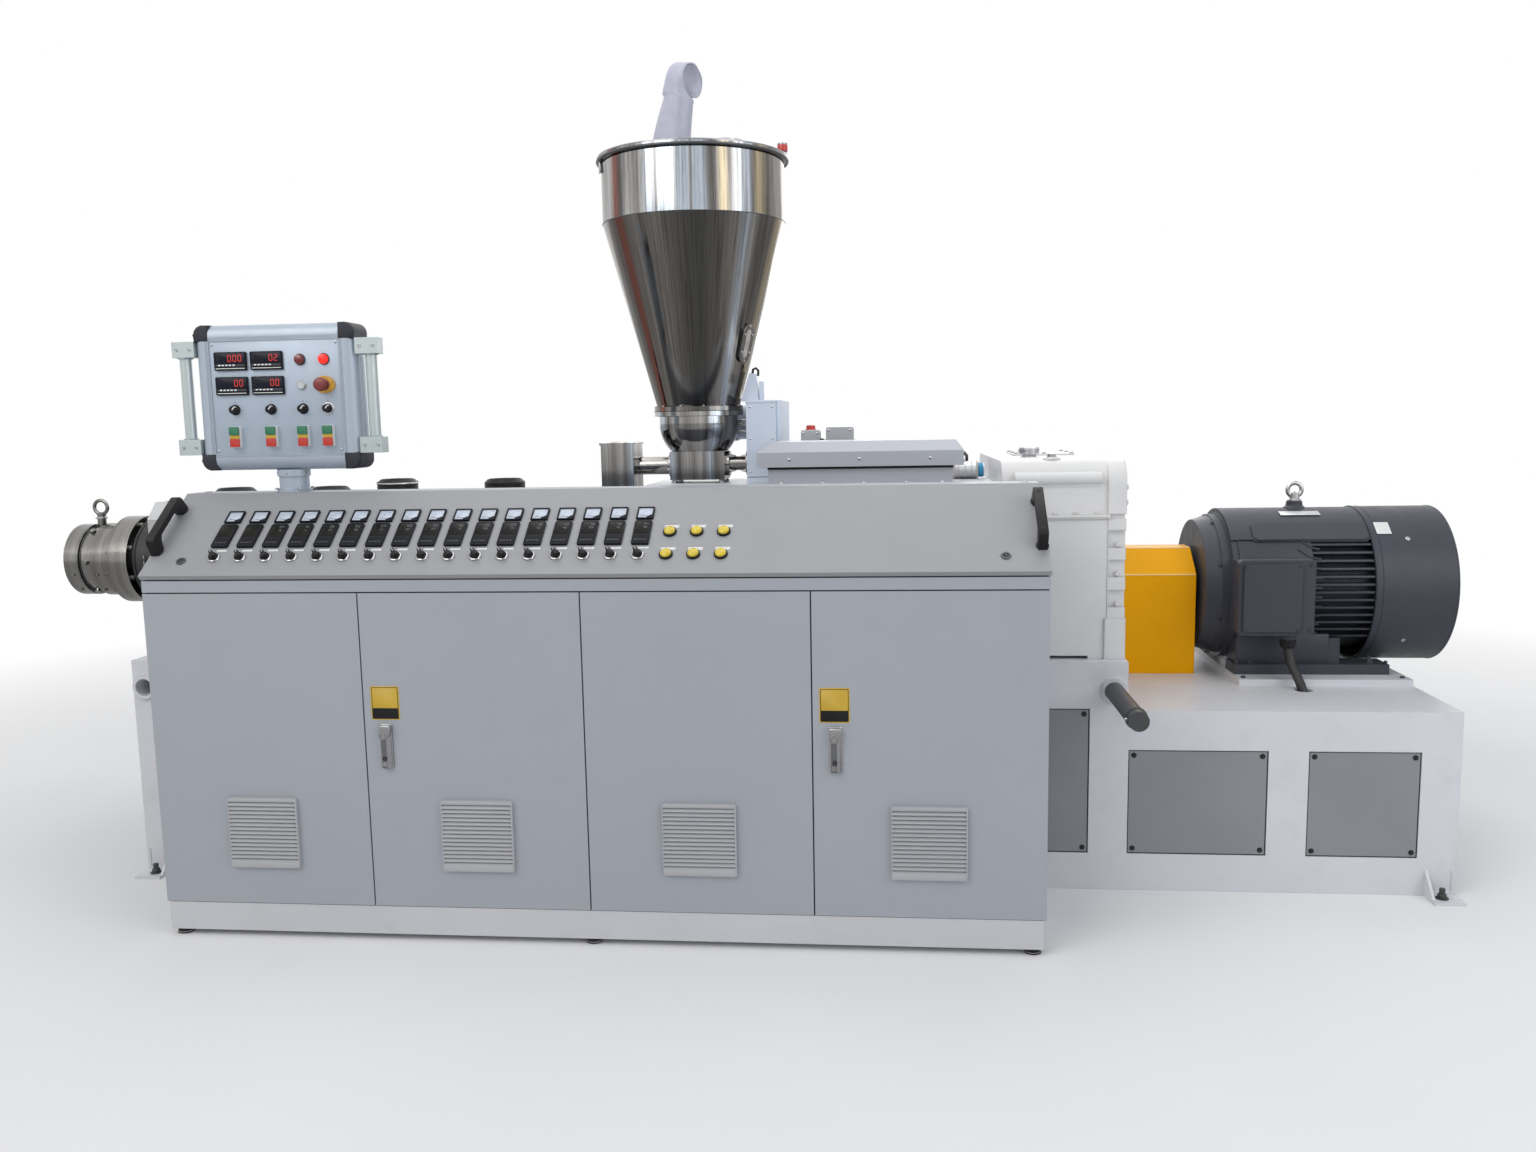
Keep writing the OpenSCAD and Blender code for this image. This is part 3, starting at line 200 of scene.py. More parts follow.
def finish(name, color, rough, metal=0.0, mottle=0.05, spots=3.0, grain=0.0, grit=350.0,
           lumps=0.0, lump_scale=14.0, stretch=EVEN, edge=0.0015, coat=0.0, shine=0.5, dirt=0.0,
           dirt_color=(0.12, 0.10, 0.08)):
    """A painted, cast, moulded or turned finish: colour mottle, grain, lumps and soft edges.

    spots, grit and lump_scale are the scales of the mottle, the grain and the lumps.
    """
    n = new_material(name)
    tint = n.mottle(spots, 5.0, shade(color, 1 - mottle), shade(color, 1 + mottle), stretch)
    if dirt:
        tint = n.mix(n.spread(n.noise(9.0, 8.0, stretch, 0.7), 0, dirt, 0.52, 0.78), tint, dirt_color)
    gloss = n.spread(n.noise(spots * 7, 4.0, stretch), rough - ROUGH_SPREAD, rough + ROUGH_SPREAD)
    normal = n.add("Bevel", Radius=edge, samples=4) if edge else None
    if lumps:
        normal = n.bump(n.noise(lump_scale), lumps, 0.01, normal)
    if grain:
        normal = n.bump(n.noise(grit, 2.0, stretch), grain, 0.0006, normal)
    return n.surface(tint, gloss, normal, Metallic=metal, Specular_IOR_Level=shine, Coat_Weight=coat,
                     Coat_Roughness=0.15)


def painted_reflection_steel(name, centre, rough, bands, split=None, lower=None):
    """Polished sheet round a centre line. Its upright streaks are painted reflections: bands of light and dark laid
    across the front.

    bands lists (place, colour) of the painted reflections from -1 at the left edge to 1 at the right edge, and below
    the height split the painted reflections of lower hold.
    """
    n = new_material(name)
    offset = n.vectors("SUBTRACT", n.add("TexCoord", out="Object"), (*centre, 0))
    height = n.add("SeparateXYZ", offset, out="Z")
    unit = n.vectors("NORMALIZE", n.vectors("MULTIPLY", offset, (1, 1, 0)))
    # across runs over the sheet as seen along FRONT_TURN, the line to the camera; the painted reflections are laid out
    # along it
    across = n.vectors("DOT_PRODUCT", unit, ray(FRONT_TURN), out="Value")
    streak = n.add("CombineXYZ", across, 0, n.maths("MULTIPLY", height, 0.05))
    fine = n.add("TexNoise", streak, Scale=34.0, Detail=5.0, Roughness=0.75, out="Fac")
    broad = n.add("TexNoise", streak, Scale=5.0, Detail=3.0, out="Fac")
    drift = n.maths("MULTIPLY_ADD", broad, 0.03, n.spread(across, 0, 1, -1, 1))

    def ramp(stops):
        color = n.add("ValToRGB", drift)
        elements = color.node.color_ramp.elements
        for element, (at, _) in zip(elements, (stops[0], stops[-1])):
            element.position = (at + 1) / 2
        for at, _ in stops[1:-1]:
            elements.new((at + 1) / 2)
        for element, (_, tone) in zip(elements, stops):
            element.color = (*tone, 1)
        return color

    tint = ramp(bands)
    if lower:
        tint = n.mix(n.maths("LESS_THAN", height, split), tint, ramp(lower))
    # Fine streaks along the same lines break up the painted reflections
    lines = n.mix(n.spread(fine, 0, 1, 0.36, 0.56), (0.48, 0.47, 0.46), WHITE)
    return n.surface(n.mix(1, tint, lines, "MULTIPLY"), n.spread(fine, rough * 0.7, rough * 1.3),
                     n.bump(fine, 0.04, 0.002), Metallic=1.0)


def lit(name, color, strength):
    """A lit plastic or glowing digit."""
    n = new_material(name)
    return n.surface(n.mottle(60.0, 3.0, shade(color, 0.9), color), 0.25, Emission_Color=(*color, 1),
                     Emission_Strength=strength)


def clear(name, color, rough, alpha):
    n = new_material(name)
    return n.surface(color, n.spread(n.noise(40.0), rough, rough + ROUGH_SPREAD), Alpha=alpha)


def cloth(name, color):
    """Thin woven filter cloth that lets some light through."""
    n = new_material(name)
    weave = [n.add("TexWave", n.add("Mapping", n.add("TexCoord", out="Object")), Scale=420.0, Distortion=0.6,
                   bands_direction=way, out="Fac") for way in "XZ"]
    thread = n.bump(n.maths("ADD", *weave), 0.15, 0.0004)
    return n.surface(n.mottle(30.0, 5.0, shade(color, 0.88), color), 0.85,
                     n.bump(n.noise(28.0, 4.0), 0.35, 0.01, thread), Sheen_Weight=0.4, Transmission_Weight=0.12)


HOPPER_AT = (-0.283, 0.0)
# Turn of the line from the hopper to the camera, from -Y towards +X, across which the reflections are painted
FRONT_TURN = radians(8.8)

# Tones of the painted reflections in polished steel: white, pale, mid, dark, deep, rust red and brass coloured
REFLECTION_TONES = {"W": (0.50, 0.56, 0.63), "P": (0.46, 0.455, 0.45), "M": (0.27, 0.255, 0.24), "D": (0.185, 0.175, 0.165),
         "E": (0.11, 0.108, 0.105), "R": (0.24, 0.09, 0.07), "B": (0.47, 0.39, 0.26)}


def bands(tones, *places):
    """Stops of a ramp of painted reflections: a letter of the reflection tones for each place from -1 to 1."""
    return [(place, REFLECTION_TONES[tone]) for place, tone in zip(places, tones)]


# Painted reflection bands of the hopper's cylinder and cone, and of the bowl and the duct
CYLINDER_REFLECTIONS = bands("MDPREPMPWDWWMWWMWWDEBDPWDBEMD", -1.0, -0.95, -0.86, -0.80, -0.72, -0.66, -0.57, -0.49,
    -0.42, -0.345, -0.32, -0.19, -0.17, -0.15, -0.02, 0.0, 0.03, 0.13, 0.19, 0.26, 0.34, 0.42, 0.47, 0.60, 0.66,
    0.72, 0.80, 0.90, 1.0)
CONE_REFLECTIONS = bands("BMDRRDMDMDEEDMWPDDBP", -1.0, -0.95, -0.84, -0.79, -0.74, -0.69, -0.60, -0.50, -0.40, -0.28,
    -0.05, 0.16, 0.36, 0.50, 0.60, 0.67, 0.74, 0.87, 0.94, 1.0)
BOWL_REFLECTIONS = bands("PWDPMPMWDPM", -1.0, -0.85, -0.75, -0.55, -0.25, 0.05, 0.2, 0.45, 0.6, 0.85, 1.0)

M = {
    "lid_steel": finish("lid_steel", (0.27, 0.27, 0.28), 0.25, metal=1.0, mottle=0.1, grain=0.1),
    "cabinet": finish("cabinet_paint", (0.366, 0.387, 0.427), 0.42, grain=0.22, grit=520,
                      mottle=0.025, spots=1.2, dirt=0.04),
    # Cabinet paint made darker for the lid: shade on its upward face painted into its colour
    "lid": finish("lid_paint_shaded", (0.300, 0.305, 0.320), 0.42, grain=0.25, grit=520, mottle=0.02,
                  spots=1.5),
    "plinth": finish("plinth_paint", (0.575, 0.58, 0.605), 0.40, grain=0.15, grit=300, mottle=0.03,
                     dirt=0.08, edge=0.002),
    "frame": finish("frame_paint", (0.66, 0.67, 0.70), 0.38, grain=0.12, grit=160, mottle=0.03,
                    lumps=0.03, dirt=0.10, edge=0.003),
    "panel": finish("panel_paint", (0.255, 0.262, 0.28), 0.45, grain=0.2, grit=420, mottle=0.05,
                    dirt=0.08),
    "bar": finish("bar_steel", (0.065, 0.067, 0.07), 0.45, metal=0.2, shine=0.3, grain=0.3, grit=90,
                  stretch=(1, 0.1, 1), mottle=0.12, dirt=0.3),
    "zinc": finish("zinc_plate", (0.55, 0.56, 0.56), 0.4, metal=1.0, mottle=0.12, spots=9),
    "grille": finish("grille_plastic", (0.425, 0.43, 0.45), 0.5, grain=0.15, mottle=0.03, edge=0.0006),
    "chrome": finish("lock_chrome", (0.46, 0.46, 0.47), 0.24, metal=1.0, mottle=0.04, spots=30,
                     grain=0.05, edge=0.0008),
    "black": finish("black_plastic", (0.014, 0.014, 0.015), 0.42, grain=0.25, grit=700,
                    mottle=0.1, edge=0.0008, shine=0.2),
    "lever": finish("lever_zinc", (0.20, 0.205, 0.22), 0.34, metal=0.8, mottle=0.06, edge=0.0006),
    "bezel": finish("bezel_black", (0.008, 0.009, 0.014), 0.38, grain=0.1, grit=900, mottle=0.1,
                    edge=0.0005, shine=0.12),
    "window": finish("display_window", (0.010, 0.009, 0.007), 0.3, mottle=0.2, spots=20, edge=0,
                     shine=0.1),
    "led_window": finish("led_window", (0.014, 0.014, 0.024), 0.25, mottle=0.2, spots=20, edge=0,
                         shine=0.15),
    "dial": finish("dial_face", (0.50, 0.56, 0.66), 0.3, mottle=0.04, spots=30, edge=0, coat=0.5),
    "keys": finish("key_grey", (0.035, 0.036, 0.04), 0.45, mottle=0.1, edge=0),
    "white": finish("label_white", (0.75, 0.75, 0.74), 0.4, mottle=0.03, spots=40, edge=0),
    "silver": finish("alu_plate", (0.62, 0.63, 0.65), 0.32, metal=0.9, mottle=0.06, grain=0.1,
                     stretch=(0.1, 1, 1)),
    "yellow_cap": finish("yellow_cap", (0.66, 0.50, 0.02), 0.30, mottle=0.08, spots=40, coat=0.3),
    "digit": lit("digit_red", (0.55, 0.03, 0.02), 0.35),
    "digit_off": finish("digit_pale", (0.16, 0.17, 0.18), 0.4, mottle=0.1, edge=0),
    "lamp_on": lit("lamp_red_lit", (0.95, 0.02, 0.01), 0.7),
    "lamp_off": finish("lamp_red_dark", (0.16, 0.012, 0.012), 0.18, mottle=0.2, spots=80, coat=0.6),
    "stop_red": finish("stop_red", (0.20, 0.028, 0.024), 0.36, mottle=0.08, spots=40, coat=0.2),
    "stop_amber": finish("stop_amber", (0.62, 0.33, 0.035), 0.36, mottle=0.08, spots=40, coat=0.2),
    "red": finish("red_plastic", (0.52, 0.03, 0.02), 0.32, mottle=0.06, spots=40, coat=0.3),
    "green": finish("green_plastic", (0.02, 0.17, 0.08), 0.34, mottle=0.06, spots=40, coat=0.3),
    "amber": finish("amber_plate", (0.62, 0.40, 0.03), 0.35, mottle=0.05, spots=30, coat=0.2),
    "pale_glass": finish("pale_glass", (0.50, 0.46, 0.41), 0.15, mottle=0.2, spots=30, edge=0, coat=0.5),
    "frame_steel": finish("frame_steel", (0.17, 0.165, 0.16), 0.3, metal=0.9, mottle=0.1, edge=0.0008),
    "clear": clear("clear_cap", (0.62, 0.68, 0.66), 0.2, 0.85),
    "glass": clear("sight_glass", (0.10, 0.12, 0.12), 0.05, 0.6),
    "plate": finish("operator_plate", (0.42, 0.49, 0.58), 0.34, metal=0.15, grain=0.1, grit=500,
                    mottle=0.03, edge=0.001),
    "profile": finish("profile_alu", (0.42, 0.48, 0.56), 0.36, metal=0.2, grain=0.15,
                      stretch=(1, 1, 0.1), mottle=0.03),
    "corner": finish("corner_plastic", (0.032, 0.034, 0.042), 0.5, grain=0.3, grit=450,
                     mottle=0.1, edge=0.004, shine=0.25),
    "grip": finish("grip_metal", (0.50, 0.56, 0.56), 0.35, metal=0.4, mottle=0.04, edge=0.002),
    "steel": finish("turned_steel", (0.24, 0.235, 0.225), 0.22, metal=1.0, grain=0.12, grit=220,
                    stretch=(6, 0.3, 0.3), mottle=0.3, spots=5, dirt=0.35),
    "heater": finish("heater_cast", (0.045, 0.045, 0.048), 0.48, metal=0.5, grain=0.5, grit=200,
                     mottle=0.3, spots=9, dirt=0.3, dirt_color=(0.10, 0.07, 0.04)),
    "cover": finish("cover_sheet", (0.55, 0.56, 0.57), 0.30, metal=1.0, grain=0.2, grit=260,
                    stretch=(0.06, 1, 1), mottle=0.06),
    "casting": finish("gearbox_paint", (0.73, 0.725, 0.72), 0.36, shine=0.35, grain=0.10, grit=120, lumps=0.16,
                      lump_scale=9, mottle=0.03, dirt=0.05, edge=0.006),
    "hood": finish("hood_paint", (0.47, 0.485, 0.53), 0.38, grain=0.15, grit=450, mottle=0.03,
                   edge=0.003),
    "pump": finish("pump_body", (0.60, 0.57, 0.50), 0.4, mottle=0.05, edge=0.002),
    "blue": finish("blue_cap", (0.03, 0.33, 0.60), 0.3, mottle=0.05),
    "yellow": finish("guard_yellow", (0.98, 0.44, 0.0), 0.34, grain=0.12, grit=180, mottle=0.04,
                     dirt=0.03, shine=0.12, edge=0.003),
    # Pale yellow for painted highlights along the guard's bend lines
    "yellow_painted_highlight": finish("guard_painted_highlight", (1.0, 0.70, 0.30), 0.3, mottle=0.03),
    "motor": finish("motor_paint", (0.054, 0.058, 0.072), 0.40, shine=0.28, grain=0.35, grit=170, lumps=0.05,
                    lump_scale=30, mottle=0.08, edge=0.003),
    "rubber": finish("cable_rubber", (0.013, 0.013, 0.014), 0.55, grain=0.3, grit=300, mottle=0.2),
    # Steel of the hopper, the bowl and the duct, with reflections painted into its colour
    "hopper": painted_reflection_steel("hopper_steel", HOPPER_AT, 0.11, CYLINDER_REFLECTIONS, 2.280, CONE_REFLECTIONS),
    "bowl": painted_reflection_steel("bowl_steel_painted_reflections", HOPPER_AT, 0.13, BOWL_REFLECTIONS),
    "duct": painted_reflection_steel("duct_steel_painted_reflections", (-0.5805, 0.0), 0.12, BOWL_REFLECTIONS),
    "dark_steel": finish("rim_steel", (0.10, 0.105, 0.11), 0.35, metal=0.8, mottle=0.15),
    "cloth": cloth("sock_cloth", (0.60, 0.61, 0.73)),
    "feeder": finish("feeder_paint", (0.64, 0.71, 0.82), 0.38, grain=0.12, grit=350, mottle=0.03,
                     edge=0.003),
    "paint_box": finish("box_paint", (0.42, 0.43, 0.45), 0.42, grain=0.2, mottle=0.05, edge=0.002),
    "mat": finish("filter_mat", (0.14, 0.145, 0.15), 0.9, grain=0.8, grit=260, mottle=0.2, edge=0),
    "inside": finish("inner_dark", (0.01, 0.01, 0.011), 0.7, mottle=0.2, edge=0),
}

CAD_LOOKS = {
    "frame": ["base_frame", "barrel_support", "transfer_box"],
    "panel": ["base_panels"],
    "bar": ["lifting_bar"],
    "plinth": ["cabinet_plinth"],
    "cabinet": ["cabinet_shell", "door_1", "door_2", "door_3", "door_4"],
    "lid": ["console_lid"],
    "zinc": ["cabinet_plates"],
    "grille": ["door_1_grille", "door_2_grille", "door_3_grille", "door_4_grille"],
    "chrome": ["door_2_handle", "door_4_handle"],
    "bezel": ["lid_instruments", "lid_switches", "operator_controls"],
    "black": ["lid_handles", "barrel_caps"],
    "profile": ["operator_post", "operator_box"],
    "grip": ["operator_grips"],
    "steel": ["barrel", "die_adapter", "coupling"],
    "heater": ["heater_bands"],
    "cover": ["barrel_guard"],
    "hood": ["hood"],
    "casting": ["gearbox"],
    "silver": ["drive_fittings"],
    "yellow": ["coupling_guard"],
    "motor": ["motor_frame", "motor_cowl"],
    "rubber": ["motor_cable"],
    "hopper": ["hopper"],
    "lid_steel": ["hopper_lid"],
    "bowl": ["feed_bowl"],
    "duct": ["drop_duct"],
    "feeder": ["feed_drive"],
    "cloth": ["filter_sock"],
}


def dress_nodes():
    for look, names in CAD_LOOKS.items():
        for name in names:
            for place in nodes[name].material_slots:
                place.material = M[look]


# ---------------------------------------------------------------- shapes

def take(bm, edges=(), bevel=0.0, segments=2):
    """Vertices and faces of a shape, once its edges are bevelled."""
    if bevel:
        bmesh.ops.bevel(bm, geom=edges, offset=bevel, segments=segments, profile=0.5, affect="EDGES",
                        clamp_overlap=True)
    bmesh.ops.recalc_face_normals(bm, faces=bm.faces[:])
    bm.verts.index_update()
    verts = [v.co.copy() for v in bm.verts]
    faces = [[v.index for v in f.verts] for f in bm.faces]
    bm.free()
    return verts, faces


@functools.lru_cache(maxsize=None)
def box_data(w, d, h, bevel, segments):
    bm = bmesh.new()
    bmesh.ops.create_cube(bm, size=1, matrix=Matrix.Diagonal((w, d, h, 1)))
    return take(bm, bm.edges[:], bevel, segments)


@functools.lru_cache(maxsize=None)
def prism_data(outline, depth, bevel, segments):
    """A flat outline pushed along its normal, with its front edges bevelled."""
    bm = bmesh.new()
    low, high = ([bm.verts.new((x, y, z)) for x, y in outline] for z in (0, depth))
    top = bm.faces.new(high)
    bm.faces.new(low[::-1])
    for i in range(len(low)):
        j = (i + 1) % len(low)
        bm.faces.new((low[i], low[j], high[j], high[i]))
    return take(bm, top.edges[:], bevel, segments)


@functools.lru_cache(maxsize=None)
def lathe_data(profile, segments):
    """A profile of (radius, height) points turned round the local Z axis."""
    verts, faces, rings = [], [], []
    for r, z in profile:
        turns = [0] if r < 1e-6 else [tau * k / segments for k in range(segments)]
        rings.append(range(len(verts), len(verts) + len(turns)))
        verts += [vec(r * cos(a), r * sin(a), z) for a in turns]
    for a, b in zip(rings, rings[1:]):
        for k in range(segments):
            j = (k + 1) % segments
            corners = [a[0]] if len(a) == 1 else [a[k], a[j]]
            corners += [b[0]] if len(b) == 1 else [b[j], b[k]]
            if len(corners) > 2:
                faces.append(corners)
    return verts, faces


def cap(r, side, top, h):
    """Profile of a disc with a chamfered top."""
    return (0, 0), (r, 0), (r, side), (top, h), (0, h)


def rounded(w, h, r, steps=5):
    """Outline of a rectangle with round corners, centred on the origin."""
    points = []
    for sx, sy, start in ((1, 1, 0), (-1, 1, 90), (-1, -1, 180), (1, -1, 270)):
        points += arc(r, start, 90, steps, sx * (w / 2 - r), sy * (h / 2 - r))
    return points


def seat_at(base, axis):
    """Place whose local Z axis points along a direction."""
    return shift(*base) @ Vector(axis).to_track_quat("Z", "Y").to_matrix().to_4x4()


# Edges flatter than this many degrees are shaded smooth
SMOOTH_BELOW = 32


class Piece:
    """Collects solids, given in millimetres, into one mesh object that rides on a CAD body."""

    def __init__(self, name, *looks, at=None):
        self.name = name
        self.looks = looks
        self.at = at or Matrix.Identity(4)
        self.verts, self.faces, self.marks = [], [], []

    def put(self, data, matrix, look=0):
        base = len(self.verts)
        full = self.at @ matrix
        self.verts.extend(full @ v for v in data[0])
        self.faces.extend([base + i for i in f] for f in data[1])
        self.marks.extend([look] * len(data[1]))

    def box(self, centre, size, bevel=0.0, look=0, turn=None):
        self.block(shift(*centre) @ (turn or Matrix.Identity(4)), size, bevel, look)

    def block(self, seat, size, bevel=0.0, look=0, segments=2):
        self.put(box_data(*size, bevel, segments), seat, look)

    def span(self, low, high, bevel=0.0, look=0):
        low, high = Vector(low), Vector(high)
        self.box((low + high) / 2, high - low, bevel, look)

    def spun(self, seat, segments, look, *profile):
        """A profile turned round the seat's Z axis."""
        self.put(lathe_data(profile, segments), seat, look)

    def lathe(self, profile, base, axis=Z, look=0, segments=48):
        self.spun(seat_at(base, axis), segments, look, *profile)

    def rod(self, base, axis, r, h, bevel=0.0, look=0, segments=32):
        b = min(bevel, h / 2)
        profile = ((0, 0), (r - b, 0), (r, b), (r, h - b), (r - b, h), (0, h)) if b else \
            ((0, 0), (r, 0), (r, h), (0, h))
        self.lathe(profile, base, axis, look, segments)

    def prism(self, outline, depth, matrix, bevel=0.0, look=0, segments=2):
        self.put(prism_data(tuple(outline), depth, bevel, segments), matrix, look)

    def ring(self, centre, axis, radius, wire, look=0, steps=40, sides=8):
        seat = seat_at(centre, axis)
        self.tube([seat @ (radius * ray(tau * k / steps)) for k in range(steps)], wire, look, sides, True)

    def tube(self, points, radius, look=0, sides=8, closed=False):
        points = [Vector(p) for p in points]
        verts, faces, normal = [], [], None
        count = len(points)
        for i, p in enumerate(points):
            ahead = points[(i + 1) % count] if closed or i < count - 1 else p
            behind = points[i - 1] if closed or i else p
            along = (ahead - behind).normalized()
            normal = normal or along.orthogonal().normalized()
            normal = (normal - along * normal.dot(along)).normalized()
            side = along.cross(normal)
            turns = [tau * k / sides for k in range(sides)]
            verts += [p + radius * (cos(a) * normal + sin(a) * side) for a in turns]
        for i in range(count if closed else count - 1):
            a, b = i * sides, ((i + 1) % count) * sides
            for k in range(sides):
                j = (k + 1) % sides
                faces.append([a + k, a + j, b + j, b + k])
        if not closed:
            faces.append(list(range(sides))[::-1])
            faces.append([(count - 1) * sides + k for k in range(sides)])
        self.put((verts, faces), Matrix.Identity(4), look)

    def hexagon(self, base, axis, r, h, look=0, washer=True):
        """Hex head with a washer below it and a chamfer on top."""
        seat = seat_at(base, axis)
        lift = r * 0.16 if washer else 0
        if washer:
            self.spun(seat, 20, look, (0, 0), (r * 1.35, 0), (r * 1.35, lift), (0, lift))
        six = [(r * cos(tau * k / 6), r * sin(tau * k / 6)) for k in range(6)]
        self.prism(six, h, seat @ shift(0, 0, lift), r * 0.12, look, 1)

    def socket(self, base, axis, r, h, look=0):
        """Socket head cap screw with its recess."""
        self.lathe(((0, 0), (r, 0), (r, h * 0.88), (r * 0.9, h), (r * 0.52, h), (r * 0.52, h * 0.6),
                    (0, h * 0.6)), base, axis, look, 18)

    def screw(self, base, axis, r, look=0):
        """Low round head."""
        self.lathe(((r, 0), (r * 0.95, r * 0.3), (r * 0.6, r * 0.52), (0, r * 0.6)), base, axis, look, 16)

    def done(self, slot, body="root"):
        mesh = bpy.data.meshes.new(self.name)
        mesh.from_pydata([tuple(v / 1000) for v in self.verts], [], self.faces)
        for look in self.looks:
            mesh.materials.append(M[look])
        mesh.polygons.foreach_set("material_index", self.marks)
        mesh.polygons.foreach_set("use_smooth", [True] * len(self.faces))
        mesh.validate()
        bm = bmesh.new()
        bm.from_mesh(mesh)
        bmesh.ops.recalc_face_normals(bm, faces=bm.faces)
        bm.to_mesh(mesh)
        bm.free()
        mesh.set_sharp_from_angle(angle=radians(SMOOTH_BELOW))
        piece = link(bpy.data.objects.new(self.name, mesh))
        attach(piece, body)
        return piece


SEGMENTS = {
    "0": "abcdef", "1": "bc", "2": "abged", "3": "abgcd", "4": "fgbc", "5": "afgcd",
    "6": "afgedc", "7": "abc", "8": "abcdefg", "9": "abcdfg",
}


def digit(piece, mark, x, y, h, look, z):
    """A seven segment digit drawn with bars, its lower left corner at x, y."""
    w, t = h * 0.52, h * 0.13
    bars = {
        "a": (w / 2, h, w, t), "d": (w / 2, 0, w, t), "g": (w / 2, h / 2, w, t),
        "f": (0, h * 0.75, t, h / 2), "e": (0, h * 0.25, t, h / 2),
        "b": (w, h * 0.75, t, h / 2), "c": (w, h * 0.25, t, h / 2),
    }
    for name in SEGMENTS[mark]:
        cx, cy, bw, bh = bars[name]
        piece.box((x + cx, y + cy, z), (max(bw - t * 0.4, t), max(bh - t * 0.4, t), 0.4), 0, look)


# ---------------------------------------------------------------- frames of reference

CAB_FRONT = -1106
LID_TILT = atan2(231, 297)
ON_LID = shift(0, -1116, 1134.5) @ turned("X", LID_TILT)
FIRST_COLUMN, COLUMN_PITCH, COLUMNS = -1619, 81.75, 17
COLUMN_XS = [FIRST_COLUMN + k * COLUMN_PITCH for k in range(COLUMNS)]
SWITCH_S, CONTROLLER_S, METER_S = 77, 169.5, 255
DOOR_SPLITS = (-1827, -1152, -477, 198, 873)


def facing_front(y):
    """Local x along X, local y up and local z out towards the viewer, at a front plane."""
    return Matrix(((1, 0, 0, 0), (0, 0, -1, y), (0, 1, 0, 0), (0, 0, 0, 1)))


def along_x(x, y=0, z=0):
    """Local x along Y, local y up and local z along X."""
    return Matrix(((0, 0, 1, x), (1, 0, 0, y), (0, 1, 0, z), (0, 0, 0, 1)))


# ---------------------------------------------------------------- cabinet and doors

LOCK_Z = 616
PLATE_X = {2: -1083.5, 4: 263.5}
GRILLE_BLADES = 15


def make_lock(i):
    """Swing lever lock: base plate, turning head with its wedge, lever and key cylinder."""
    edge, z = DOOR_SPLITS[i - 1] + 2, LOCK_Z
    x = edge + 66
    p = Piece(f"door_{i}_lock", "chrome", "lever", "inside", at=facing_front(CAB_FRONT))
    p.prism(rounded(38, 138, 5), 6, shift(x, z, 0), 2, segments=3)
    # Lever: a flat face in dark metal and a bevel of bright chrome down its right side, painted shade and a painted
    # highlight on one lever
    face = ((-14, 4), (-14, 15), (-12, 17), (3, 17), (3, 4))
    bevel = ((3, 4), (3, 17), (5, 16.6), (14, 9), (15.6, 4))
    for outline, look in ((face, 1), (bevel, 0)):
        p.prism(outline, 104, shift(x + 1, z + 38, 0) @ turned("X", pi / 2), 0.8, look)
    # Turning head with its round boss
    head = ((-17, 66), (15, 66), (17, 63), (17, 40), (12, 30), (2, 34), (-17, 42))
    p.prism(head, 21, shift(x, z, 0), 3, segments=3)
    boss = shift(x - 4, z + 34, 0)
    p.spun(boss, 40, 0, (0, 0), (14, 0), (14, 19), (12.4, 21), (0, 21.6))
    p.spun(boss, 36, 1, (9.4, 21.2), (9.8, 22), (8.6, 22), (8.2, 21.4))
    # Key cylinder and the grip ribs below it
    p.spun(shift(x - 2, z - 36, 0), 32, 2, *cap(7, 18.2, 5.8, 19))
    p.box((x - 2, z - 36, 19.1), (1.2, 5, 0.4))
    for k in range(3):
        p.box((x - 4, z - 50 - 4.4 * k, 17.2), (14, 1.5, 1), 0.4)
    piece = p.done("lock_metal", f"door_{i}")
    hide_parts(f"door_{i}_handle")

    # Rubber seal down the free edge of the door
    q = Piece(f"door_{i}_seal", "inside")
    q.span((edge - 2.9, -1102.5, 114), (edge, -1088, 1076), 0.6)
    q.done("black_plastic", f"door_{i}")


def make_door_plate(i):
    """Bare amber plate with a plain darker lower strip."""
    p = Piece(f"door_{i}_plate", "amber", "black", at=facing_front(CAB_FRONT))
    for w, h, r, depth, z, out, bevel, look in ((88, 103, 5, 0.8, 746.5, 0, 0.3, 0),
                                                (82, 97, 3, 0.25, 746.5, 0.75, 0.1, 1),
                                                (78, 62, 2, 0.3, 762, 0.95, 0.1, 0)):
        p.prism(rounded(w, h, r), depth, shift(PLATE_X[i], z, out), bevel, look)
    p.done("switch_plastic", f"door_{i}")


def make_grille_trim(i):
    """Rounded louvre noses, the side rail and the filter mat of a grille."""
    x = (DOOR_SPLITS[i - 1] + DOOR_SPLITS[i]) / 2
    p = Piece(f"door_{i}_grille_trim", "mat", "grille", at=facing_front(CAB_FRONT))
    p.box((x, 342, 2.4), (210, 194, 0.8), 0.2)
    pitch = (220 - 9 - 20) / GRILLE_BLADES
    for k in range(1, GRILLE_BLADES):
        p.rod((x - 109.6, 249 + k * pitch - 1, 11.2), X, 2.3, 216, 1, 1, 14)
    p.box((x + 107.6, 339, 11.4), (4.4, 216, 3.6), 1.2, 1)
    p.box((x - 1, 443.6, 11.2), (218, 8, 2.8), 1.2, 1)
    p.box((x - 1, 239, 11.4), (217, 17, 2.2), 1, 1)
    p.done("grille_plastic", f"door_{i}")


